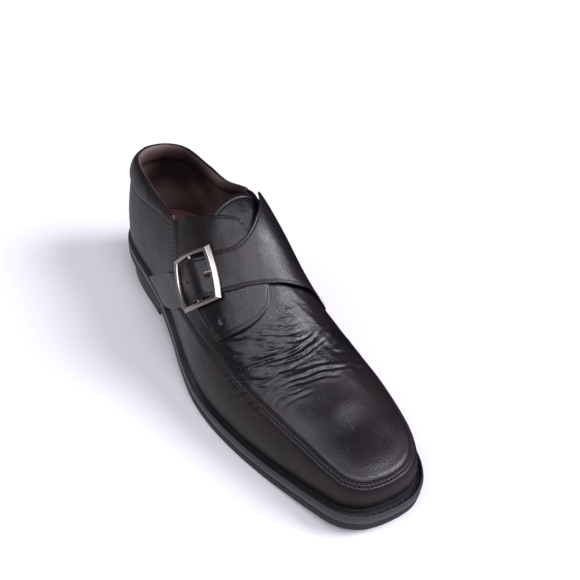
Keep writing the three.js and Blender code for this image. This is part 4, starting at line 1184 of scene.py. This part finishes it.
def buildStitches(thread):
    rows = []
    path, normals = pathRoundToe(seams["apron"])
    for offset in (upperLook["stitchGap"], -upperLook["stitchGap"]):
        sewRow(rows, path + leftOf(path, normals) * offset, normals, "apron", 0.02, 0.98)
    for name, turn in quarterSeams:
        path, normals = pathOnLast(seams[name], 120)
        behind = leftOf(path, normals) * turn * quarterStitch["behind"]
        sewRow(rows, path + behind + normals * quarterStitch["above"], normals, "quarter", 0.04, 0.94)
    look = bandLook
    sewBand(rows, "strap", strapRows, strapStand, look["stitchIn"], (260, 0.02, 0.985), (40, 0.975, 0.1, 0.9))
    sewBand(
        rows, "facing", facingRows, facingStand, look["stitchIn"], (220, 0.02, 0.98), (60, 0.028, 0.05, 0.96)
    )
    tackHeight = bandStand + look["facing"] - look["sink"]
    sewRow(rows, *boxTackPath(facingRows, look["tackAt"], look["tackSize"], tackHeight), "tack")
    sewBand(rows, "anchor", anchorRows, anchorStand, look["anchorStitchIn"], (100, 0.05, 0.98))
    path, normals = tongueBorder()
    inward = leftOf(path, normals)
    inward *= np.sign(((path.mean(0) - path) * inward).sum())
    path = path + inward * tongueLook["stitchIn"] - normals * tongueLook["stitchDown"]
    sewRow(rows, path, normals, "tongue")
    # the collar's lower seam
    count = collarStitch["points"]
    p = np.linspace(-0.99, 0.99, count)
    below = (collarLook["depth"] * collarTaper(p) + collarStitch["below"]) * mm
    path = toplinePoint(p, below, np.full(count, collarStitch["above"]))
    above = toplinePoint(p, below, np.full(count, collarStitch["above"] + 1 * mm))
    sewRow(rows, path, unit(above - path), "collar")
    # the welt's thread in its trench, forward of the waist
    count = weltStitch["points"]
    for side, start in ((-1.0, weltStitch["lateralFrom"]), (1.0, weltStitch["medialFrom"])):
        s = np.linspace(float(stationAt(start)), 1, count)
        path = outlinePoint(s, side, weltStitch["across"] * section("welt", s) * shoe["welt"])
        path[:, 2] = bed(s) - shoe["fit"] - weltStitch["down"]
        sewRow(rows, path, np.tile([0.0, 0.0, 1.0], (count, 1)), "welt")
    bm = bmesh.new()
    for row in rows:
        bm.from_mesh(row)
        bpy.data.meshes.remove(row)
    addPiece("stitches", meshOf(bm, "stitches"), [thread])


# The buckle
buckleLook = {
    "frontBar": 4.2 * mm,
    "rail": 3 * mm,
    "thickness": 2.6 * mm,
    "reach": 11 * mm,
    "bow": 2.6 * mm,
    "camber": 1.2 * mm,
    "middleBar": bandLook["middleBar"],
    "prong": 1.0 * mm,
    "prongTip": 0.62,
    "clearance": 0.5 * mm,
}
# One bar cut across: from its inner edge to its outer one, and up, as shares of its width and thickness
barSection = [
    (0.06, 0.0), (0.0, 0.08), (0.0, 0.55), (0.02, 0.62), (0.14, 0.84), (0.19, 0.88), (0.26, 0.9), (0.45, 1.0),
    (0.6, 1.0), (0.66, 0.97), (0.95, 0.5), (1.0, 0.42), (1.0, 0.1), (0.94, 0.0), (0.5, 0.0), (0.06, 0.0),
]
middleBarHeight = overFacing + bandLook["anchor"] + shoe["fit"] + bandLook["middleBar"]
railInside = strapWidth / 2 + buckleLook["clearance"]


def strapPlace(x, y, height):
    # x along the strap from the middle bar towards its root, y across it, both in metres
    return strapSpot(buckleAt - x * strapUnit, 0.5 + y / strapWidth, height)


# The frame's own axes: along the strap, across it, and up from it
frameCentre = strapPlace(0, 0, 0)
frameX = unit(strapPlace(buckleLook["reach"], 0, 0) - strapPlace(-buckleLook["reach"], 0, 0))
frameZ = unit(np.cross(frameX, strapPlace(0, strapWidth / 2, 0) - strapPlace(0, -strapWidth / 2, 0)))
if frameZ[2] < 0:
    frameZ = -frameZ
frameY = np.cross(frameZ, frameX)


def restOnStrap(start, stop):
    # how high a bar lies that rests on the strap between two places along it
    highest = -1.0
    for x in np.linspace(start, stop, 5):
        for y in np.linspace(-0.5, 0.5, 5) * strapWidth:
            top = strapPlace(x, y, strapTop(buckleAt - x * strapUnit))
            highest = max(highest, float((top - frameCentre) @ frameZ))
    return highest + shoe["fit"]


frontHeight = restOnStrap(buckleLook["reach"], buckleLook["reach"] + buckleLook["frontBar"])
backHeight = restOnStrap(-buckleLook["reach"] - buckleLook["rail"] - buckleLook["bow"], -buckleLook["reach"])


def framePlace(x, y, z):
    x, y, z = (np.asarray(a, float) for a in (x, y, z))
    share = (x / buckleLook["reach"] + 1) / 2
    height = backHeight + (frontHeight - backHeight) * share + buckleLook["camber"] * 4 * share * (1 - share)
    return frameCentre + frameX * x[..., None] + frameY * y[..., None] + frameZ * (height + z)[..., None]


def frameSide(u, front, back, half, bow):
    # the frame's outline at u from 0 to 1 round its four sides, the back bar bowed out
    corners = np.array([[front, -half], [front, half], [-back, half], [-back, -half]])
    bulge = np.array([[bow * 0.4, 0], [0, bow * 0.2], [-bow, 0], [0, -bow * 0.2]])
    side = np.minimum((u * 4).astype(int), 3)
    t = (u * 4 - side)[:, None]
    return corners[side] * (1 - t) + corners[(side + 1) % 4] * t + bulge[side] * 4 * t * (1 - t)


def ringEdges(ring):
    return [e for v in ring for e in v.link_edges if v == e.verts[0] and e.verts[1] in ring]


def tube(bm, stops, radius, steps=60, tip=1.0, sides=14, tipRings=5):
    # circles along a smooth path, bridged and capped, the last ones smaller where tip is below 1
    path = np.stack([spline(stops[:, k], np.linspace(0, 1, steps)) for k in range(3)], -1)
    up = Vector(frameZ)
    rings = []
    for k, (spot, tangent) in enumerate(zip(path, unit(np.gradient(path, axis=0)))):
        forward = Vector(tangent)
        beside = up if abs(forward.dot(up)) < 0.98 else Vector(frameX)
        sideways = forward.cross(beside).normalized()
        above = sideways.cross(forward).normalized()
        if rings and above.dot(lastAbove) < 0:
            above, sideways = -above, -sideways
        lastAbove = above
        size = radius * (tip + (1 - tip) * min(1.0, (steps - 1 - k) / tipRings))
        place = Matrix.Translation(Vector(spot)) @ axesOf(sideways, above, forward)
        rings.append(bmesh.ops.create_circle(bm, segments=sides, radius=size, matrix=place)["verts"])
    for first, second in zip(rings, rings[1:]):
        bmesh.ops.bridge_loops(bm, edges=ringEdges(first) + ringEdges(second))
    for ring in (rings[0], rings[-1]):
        bmesh.ops.contextual_create(bm, geom=ring)
    faces = list({f for ring in rings for v in ring for f in v.link_faces})
    bmesh.ops.recalc_face_normals(bm, faces=faces)


def buildBuckle(metal):
    look = buckleLook
    table = np.array(barSection)
    front, back = look["reach"] + look["frontBar"], look["reach"] + look["rail"]

    def place(u, v):
        k = np.rint(v * (len(table) - 1)).astype(int)
        inner = frameSide(u, look["reach"], look["reach"], railInside, look["bow"])
        outer = frameSide(u, front, back, railInside + look["rail"], look["bow"])
        spot = inner + (outer - inner) * table[k, 0][:, None]
        return framePlace(spot[:, 0], spot[:, 1], table[k, 1] * look["thickness"])

    mesh = gridMesh("buckleFrame", 96, len(table) - 1, place, weld=0.005 * mm)
    faceOut(mesh)

    def barEnd(side):
        # the middle bar runs down from inside a rail to the strap's inner face
        return [
            framePlace(0, side * (railInside + 1.2 * mm), look["thickness"] * 0.4),
            strapPlace(0, side * (railInside + 0.4 * mm), middleBarHeight + 0.6 * mm),
        ]

    underStrap = [strapPlace(0, share * strapWidth, middleBarHeight) for share in (-0.5, -0.25, 0, 0.25, 0.5)]
    bm = bmesh.new()
    bm.from_mesh(mesh)
    tube(bm, np.array(barEnd(-1) + underStrap + barEnd(1)[::-1]), look["middleBar"])
    bm.to_mesh(mesh)
    bm.free()
    addPiece("buckleFrame", mesh, [metal], ["buckle_frame"], sharp=20)


def buildProng(metal):
    # from the middle bar up through the strap's hole and onto the front bar
    look = buckleLook
    rest = look["thickness"] + look["prong"] + shoe["fit"]
    start = look["middleBar"] + look["prong"] + shoe["fit"]
    stops = [
        strapPlace(start, 0, middleBarHeight),
        strapPlace(start + 2 * mm, 0, middleBarHeight - 0.6 * mm),
        strapPlace(look["reach"] - 5.2 * mm, 0, middleBarHeight - 1 * mm),
        framePlace(look["reach"] - 2.4 * mm, 0, look["thickness"] * 0.4),
        *(framePlace(look["reach"] + look["frontBar"] * share, 0, rest) for share in (0, 0.45, 0.9)),
    ]
    bm = bmesh.new()
    tube(bm, np.array(stops), look["prong"], tip=look["prongTip"])
    addPiece("buckleProng", meshOf(bm, "buckleProng"), [metal], ["buckle_prong"])


# Materials

def nodeGroup(name, inputs, outputs):
    group = bpy.data.node_groups.new(name, "ShaderNodeTree")
    for socketName, kind, value in inputs:
        socket = group.interface.new_socket(name=socketName, in_out="INPUT", socket_type=kind)
        if value is not None:
            socket.default_value = value
    for socketName, kind in outputs:
        group.interface.new_socket(name=socketName, in_out="OUTPUT", socket_type=kind)
    return group, group.nodes.new("NodeGroupInput"), group.nodes.new("NodeGroupOutput")


def feed(tree, target, value):
    # a number or colour is set on the socket, another node's output is linked to it
    if isinstance(value, (int, float, tuple)):
        target.default_value = value
    else:
        tree.links.new(value, target)


def mathNode(tree, operation, a, b=None, clamp=False):
    node = tree.nodes.new("ShaderNodeMath")
    node.operation = operation
    node.use_clamp = clamp
    feed(tree, node.inputs[0], a)
    if b is not None:
        feed(tree, node.inputs[1], b)
    return node.outputs[0]


def noiseNode(tree, vector, scale, detail, roughness, distortion=0.0):
    node = tree.nodes.new("ShaderNodeTexNoise")
    given = (("Vector", vector), ("Scale", scale), ("Detail", detail), ("Roughness", roughness))
    for socket, value in (*given, ("Distortion", distortion)):
        feed(tree, node.inputs[socket], value)
    return node.outputs[0]


def mapNode(tree, value, low, high, start=0.0, stop=1.0, kind="LINEAR"):
    node = tree.nodes.new("ShaderNodeMapRange")
    node.interpolation_type = kind
    given = (("From Min", low), ("From Max", high), ("To Min", start), ("To Max", stop))
    for socket, number in (("Value", value), *given):
        feed(tree, node.inputs[socket], number)
    return node.outputs[0]


def mixColors(tree, factor, first, second):
    node = tree.nodes.new("ShaderNodeMix")
    node.data_type = "RGBA"
    feed(tree, node.inputs["Factor"], factor)
    feed(tree, node.inputs[6], first)
    feed(tree, node.inputs[7], second)
    return node.outputs[2]


def attributeNode(tree, name):
    node = tree.nodes.new("ShaderNodeAttribute")
    node.attribute_name = name
    return node.outputs["Fac"]


grainLook = {
    "foldDetail": 6,
    "foldRoughness": 0.6,
    "foldHeight": 0.5,
    "poreDepth": 0.3,
    "wrinkleScale": (300, 95, 150),
    "wrinkleTurn": -14,
    "wrinkleDetail": 4,
    "wrinkleRoughness": 0.55,
    "wrinkleDistortion": 0.6,
    "wrinkleSharpness": 7.0,
    "cloudScale": 24,
    "cloudDetail": 1.5,
    "cloudRoughness": 0.45,
}


def makeGrainGroup():
    # leather grain: fine pebbles, soft folds, and thin wrinkles across the shoe where it flexes
    look = grainLook
    group, given, made = nodeGroup(
        "leatherGrain",
        [
            ("Vector", "NodeSocketVector", None), ("Pebble Scale", "NodeSocketFloat", 900.0),
            ("Fold Scale", "NodeSocketFloat", 160.0), ("Flex", "NodeSocketFloat", 0.0),
        ],
        [("Height", "NodeSocketFloat"), ("Clouds", "NodeSocketFloat")],
    )
    where = given.outputs["Vector"]
    pebble = group.nodes.new("ShaderNodeTexVoronoi")
    pebble.feature = "DISTANCE_TO_EDGE"
    feed(group, pebble.inputs["Vector"], where)
    feed(group, pebble.inputs["Scale"], given.outputs["Pebble Scale"])
    folds = noiseNode(group, where, given.outputs["Fold Scale"], look["foldDetail"], look["foldRoughness"])
    stretch = group.nodes.new("ShaderNodeMapping")
    stretch.inputs["Scale"].default_value = look["wrinkleScale"]
    stretch.inputs["Rotation"].default_value = (0, 0, math.radians(look["wrinkleTurn"]))
    feed(group, stretch.inputs["Vector"], where)
    character = [look[name] for name in ("wrinkleDetail", "wrinkleRoughness", "wrinkleDistortion")]
    wrinkle = noiseNode(group, stretch.outputs[0], 1.0, *character)
    valley = mathNode(group, "ABSOLUTE", mathNode(group, "SUBTRACT", wrinkle, 0.5))
    valley = mathNode(group, "MULTIPLY", valley, look["wrinkleSharpness"], clamp=True)
    pores = mathNode(group, "MINIMUM", pebble.outputs["Distance"], look["poreDepth"])
    height = mathNode(group, "ADD", pores, mathNode(group, "MULTIPLY", folds, look["foldHeight"]))
    height = mathNode(group, "ADD", height, mathNode(group, "MULTIPLY", valley, given.outputs["Flex"]))
    feed(group, made.inputs["Height"], height)
    clouds = noiseNode(group, where, look["cloudScale"], look["cloudDetail"], look["cloudRoughness"])
    feed(group, made.inputs["Clouds"], clouds)
    return group


wearAndShadeLook = {
    "toneFrom": (0.35, 0.65),
    "roughnessFrom": (0.3, 0.7),
    # the colour and strength of the shade painted into recesses, and how much rougher they are
    "recessShadeColor": (0.0025, 0.002, 0.0025, 1),
    "recessShadeStrength": 0.85,
    "recessRough": 0.4,
}


def makeWearAndShadeGroup():
    # two tones mixed by a soft mask, with the roughness that goes with them; recesses are duller, and darker
    # with painted shade
    look = wearAndShadeLook
    group, given, made = nodeGroup(
        "wearAndRecessShade",
        [
            ("Mask", "NodeSocketFloat", 0.5), ("Deep Color", "NodeSocketColor", (0.02, 0.02, 0.02, 1)),
            ("Rubbed Color", "NodeSocketColor", (0.05, 0.05, 0.05, 1)),
            ("Low Roughness", "NodeSocketFloat", 0.3), ("High Roughness", "NodeSocketFloat", 0.5),
            ("Recess Shade", "NodeSocketFloat", 0.0),
        ],
        [("Color", "NodeSocketColor"), ("Roughness", "NodeSocketFloat")],
    )
    mask, recessShade = given.outputs["Mask"], given.outputs["Recess Shade"]
    tone = mapNode(group, mask, *look["toneFrom"])
    color = mixColors(group, tone, given.outputs["Deep Color"], given.outputs["Rubbed Color"])
    # painted shade: the colour goes towards the shade colour in recesses
    dark = mathNode(group, "MULTIPLY", recessShade, look["recessShadeStrength"])
    color = mixColors(group, dark, color, look["recessShadeColor"])
    feed(group, made.inputs["Color"], color)
    low, high = given.outputs["Low Roughness"], given.outputs["High Roughness"]
    rough = mapNode(group, mask, *look["roughnessFrom"], low, high)
    rough = mathNode(group, "ADD", rough, mathNode(group, "MULTIPLY", recessShade, look["recessRough"]))
    feed(group, made.inputs["Roughness"], rough)
    return group


grainGroup = makeGrainGroup()
wearAndShadeGroup = makeWearAndShadeGroup()


def addGroup(tree, group, values):
    node = tree.nodes.new("ShaderNodeGroup")
    node.node_tree = group
    for socket, value in values.items():
        feed(tree, node.inputs[socket], value)
    return node


def makeMaterial(name, look):
    material = bpy.data.materials.new(name)
    material.use_nodes = True
    tree = material.node_tree
    where = tree.nodes.new("ShaderNodeTexCoord").outputs["Object"]
    grain = addGroup(tree, grainGroup, {
        "Vector": where,
        "Pebble Scale": look["pebble"],
        "Fold Scale": look["fold"],
        "Flex": attributeNode(tree, "flex"),
    })
    wearAndShade = addGroup(tree, wearAndShadeGroup, {
        "Mask": grain.outputs["Clouds"],
        "Deep Color": (*look["deep"], 1),
        "Rubbed Color": (*look["rubbed"], 1),
        "Low Roughness": look["roughness"][0],
        "High Roughness": look["roughness"][1],
        # the mask of shade painted into recesses
        "Recess Shade": attributeNode(tree, "recessShade"),
    })
    bump = tree.nodes.new("ShaderNodeBump")
    bump.inputs["Strength"].default_value = look["bump"]
    bump.inputs["Distance"].default_value = look["bumpDepth"]
    feed(tree, bump.inputs["Height"], grain.outputs["Height"])
    shader = tree.nodes["Principled BSDF"]
    feed(tree, shader.inputs["Base Color"], wearAndShade.outputs["Color"])
    feed(tree, shader.inputs["Roughness"], wearAndShade.outputs["Roughness"])
    feed(tree, shader.inputs["Normal"], bump.outputs[0])
    shader.inputs["Metallic"].default_value = look.get("metal", 0.0)
    shader.inputs["Coat Weight"].default_value = look.get("coat", 0.0)
    shader.inputs["Coat Roughness"].default_value = look.get("coatRoughness", 0.25)
    shader.inputs["Specular IOR Level"].default_value = look.get("specular", 0.5)
    return material


leatherLook = {
    "deep": (0.0045, 0.003, 0.0048), "rubbed": (0.012, 0.0068, 0.0085), "roughness": (0.24, 0.37),
    "pebble": 1000, "fold": 420, "bump": 0.6, "bumpDepth": 0.24 * mm,
}
liningLook = {
    "deep": (0.03, 0.017, 0.016), "rubbed": (0.17, 0.115, 0.105), "roughness": (0.45, 0.62),
    "pebble": 1200, "fold": 200, "bump": 0.5, "bumpDepth": 0.25 * mm, "specular": 0.4,
}
insoleLook = {
    "deep": (0.075, 0.03, 0.029), "rubbed": (0.13, 0.062, 0.058), "roughness": (0.34, 0.5),
    "pebble": 1200, "fold": 200, "bump": 0.4, "bumpDepth": 0.2 * mm, "coat": 0.1, "coatRoughness": 0.35,
}
weltLook = {
    "deep": (0.036, 0.034, 0.040), "rubbed": (0.056, 0.053, 0.060), "roughness": (0.28, 0.4),
    "pebble": 2000, "fold": 420, "bump": 0.3, "bumpDepth": 0.12 * mm,
}
rubberLook = {
    "deep": (0.014, 0.0135, 0.016), "rubbed": (0.026, 0.025, 0.028), "roughness": (0.46, 0.62),
    "pebble": 2000, "fold": 420, "bump": 0.3, "bumpDepth": 0.15 * mm, "specular": 0.35,
}
threadLook = {
    "deep": (0.012, 0.011, 0.0135), "rubbed": (0.03, 0.028, 0.033), "roughness": (0.36, 0.5),
    "pebble": 3500, "fold": 1500, "bump": 0.3, "bumpDepth": 0.08 * mm,
}
nickelLook = {
    "deep": (0.33, 0.30, 0.27), "rubbed": (0.56, 0.53, 0.49), "roughness": (0.18, 0.3),
    "pebble": 2500, "fold": 300, "bump": 0.15, "bumpDepth": 0.05 * mm, "metal": 1.0,
}
upperMaterial = makeMaterial("calfLeather", leatherLook)
liningMaterial = makeMaterial("liningLeather", liningLook)
insoleMaterial = makeMaterial("insoleLeather", insoleLook)
weltMaterial = makeMaterial("weltRubber", weltLook)
rubberMaterial = makeMaterial("soleRubber", rubberLook)
threadMaterial = makeMaterial("waxedThread", threadLook)
nickelMaterial = makeMaterial("antiqueNickel", nickelLook)
print("materials made")

buildUpper(upperMaterial)
buildLining(liningMaterial)
print("upper and lining made")
buildInsole(insoleMaterial)
buildOutsole(rubberMaterial)
buildWelt(weltMaterial)
buildHeel(rubberMaterial)
print("insole and sole made")
buildCollar(upperMaterial, liningMaterial)
for build in (buildHeelTab, buildTongue, buildFacing, buildAnchor, buildStrap):
    build(upperMaterial)
print("leather pieces made")
buildBuckle(nickelMaterial)
buildProng(nickelMaterial)
buildStitches(threadMaterial)
print("buckle and stitches made")


# Camera, lights and floor
cameraLook = {
    "azimuth": 53.0,
    "elevation": 41.257,
    "roll": 5.612,
    "distance": 0.47214,
    "target": (106.641 * mm, 34.592 * mm, 45 * mm),
    "focal": 700.56,
    "pictureWidth": 580,
}


def makeCamera():
    look = cameraLook
    a, e, r = (math.radians(look[k]) for k in ("azimuth", "elevation", "roll"))
    right = Vector((math.cos(a), math.sin(a), 0))
    away = Vector((-math.sin(a) * math.cos(e), math.cos(a) * math.cos(e), -math.sin(e)))
    up = right.cross(away)
    rolledRight = right * math.cos(r) + up * math.sin(r)
    rolledUp = up * math.cos(r) - right * math.sin(r)
    data = bpy.data.cameras.new("camera")
    data.sensor_width = 36
    data.lens = look["focal"] / look["pictureWidth"] * data.sensor_width
    data.clip_start = 0.01
    camera = addObject("camera", data)
    target = Vector(look["target"]) + Vector(origin)
    turn = axesOf(rolledRight, rolledUp, -away)
    camera.matrix_world = Matrix.Translation(target - away * look["distance"]) @ turn
    bpy.context.scene.camera = camera


lightLook = [
    # name, azimuth and elevation it comes from, its width in degrees, power, colour
    ("keySoftLight", 51, 44, 26, 2.5, (0.92, 0.9, 1.0)),
    ("toeSoftLight", -12, 62, 40, 1.5, (0.92, 0.9, 1.0)),
    ("lateralSoftLight", -85, 52, 30, 0.75, (0.92, 0.91, 1.0)),
]
studioLook = {
    # what the shoe reflects: the brightness above and below the floor's edge, and the dark side below it
    "floorEdge": (-0.04, 0.1),
    "ceiling": 0.14,
    "paleFloor": 0.52,
    "darkFloor": 0.02,
    "darkTowards": (-0.5, 0.87, 0.0),
    "darkFrom": (0.3, 0.8),
    # the wall as the camera sees it, and the colours
    "wall": 0.9,
    "color": (0.94, 0.9, 1.0),
    "wallColor": (0.96, 0.97, 1.0),
    "floorColor": (0.93, 0.93, 0.93),
    "floorRoughness": 0.75,
    "floorReach": 12,
}


def makeStudio():
    # the shoe reflects a dim ceiling and a pale floor, dark towards one side; the camera sees a pale wall
    look = studioLook
    world = bpy.data.worlds.new("studio")
    bpy.context.scene.world = world
    world.use_nodes = True
    tree = world.node_tree
    direction = tree.nodes.new("ShaderNodeTexCoord").outputs["Generated"]
    split = tree.nodes.new("ShaderNodeSeparateXYZ")
    feed(tree, split.inputs[0], direction)
    dot = tree.nodes.new("ShaderNodeVectorMath")
    dot.operation = "DOT_PRODUCT"
    feed(tree, dot.inputs[0], direction)
    dot.inputs[1].default_value = look["darkTowards"]
    towards = dot.outputs["Value"]
    below = mapNode(tree, towards, *look["darkFrom"], look["paleFloor"], look["darkFloor"], "SMOOTHSTEP")
    reflected = mapNode(tree, split.outputs[2], *look["floorEdge"], below, look["ceiling"], "SMOOTHSTEP")
    background = tree.nodes["Background"]
    wall = tree.nodes.new("ShaderNodeBackground")
    feed(tree, background.inputs["Color"], (*look["color"], 1))
    feed(tree, background.inputs["Strength"], reflected)
    feed(tree, wall.inputs["Color"], (*look["wallColor"], 1))
    feed(tree, wall.inputs["Strength"], look["wall"])
    mix = tree.nodes.new("ShaderNodeMixShader")
    feed(tree, mix.inputs[0], tree.nodes.new("ShaderNodeLightPath").outputs["Is Camera Ray"])
    feed(tree, mix.inputs[1], background.outputs[0])
    feed(tree, mix.inputs[2], wall.outputs[0])
    feed(tree, tree.nodes["World Output"].inputs["Surface"], mix.outputs[0])
    bpy.context.scene.view_settings.view_transform = "Standard"


def makeLights():
    for name, azimuth, elevation, width, power, color in lightLook:
        data = bpy.data.lights.new(name, "SUN")
        data.energy = power
        data.angle = math.radians(width)
        data.color = color
        lamp = addObject(name, data)
        a, e = math.radians(azimuth), math.radians(elevation)
        place = Vector((math.cos(a) * math.cos(e), math.sin(a) * math.cos(e), math.sin(e)))
        lamp.location = place
        lamp.rotation_mode = "QUATERNION"
        lamp.rotation_quaternion = place.to_track_quat("Z", "Y")


def makeFloor():
    bm = bmesh.new()
    bmesh.ops.create_grid(bm, x_segments=1, y_segments=1, size=studioLook["floorReach"])
    floor = addObject("floor", meshOf(bm, "floor"))
    material = bpy.data.materials.new("paleFloor")
    material.use_nodes = True
    shader = material.node_tree.nodes["Principled BSDF"]
    shader.inputs["Base Color"].default_value = (*studioLook["floorColor"], 1)
    shader.inputs["Roughness"].default_value = studioLook["floorRoughness"]
    floor.data.materials.append(material)
    floor.visible_glossy = False


makeCamera()
makeLights()
makeStudio()
makeFloor()
print("camera, lights and floor made")
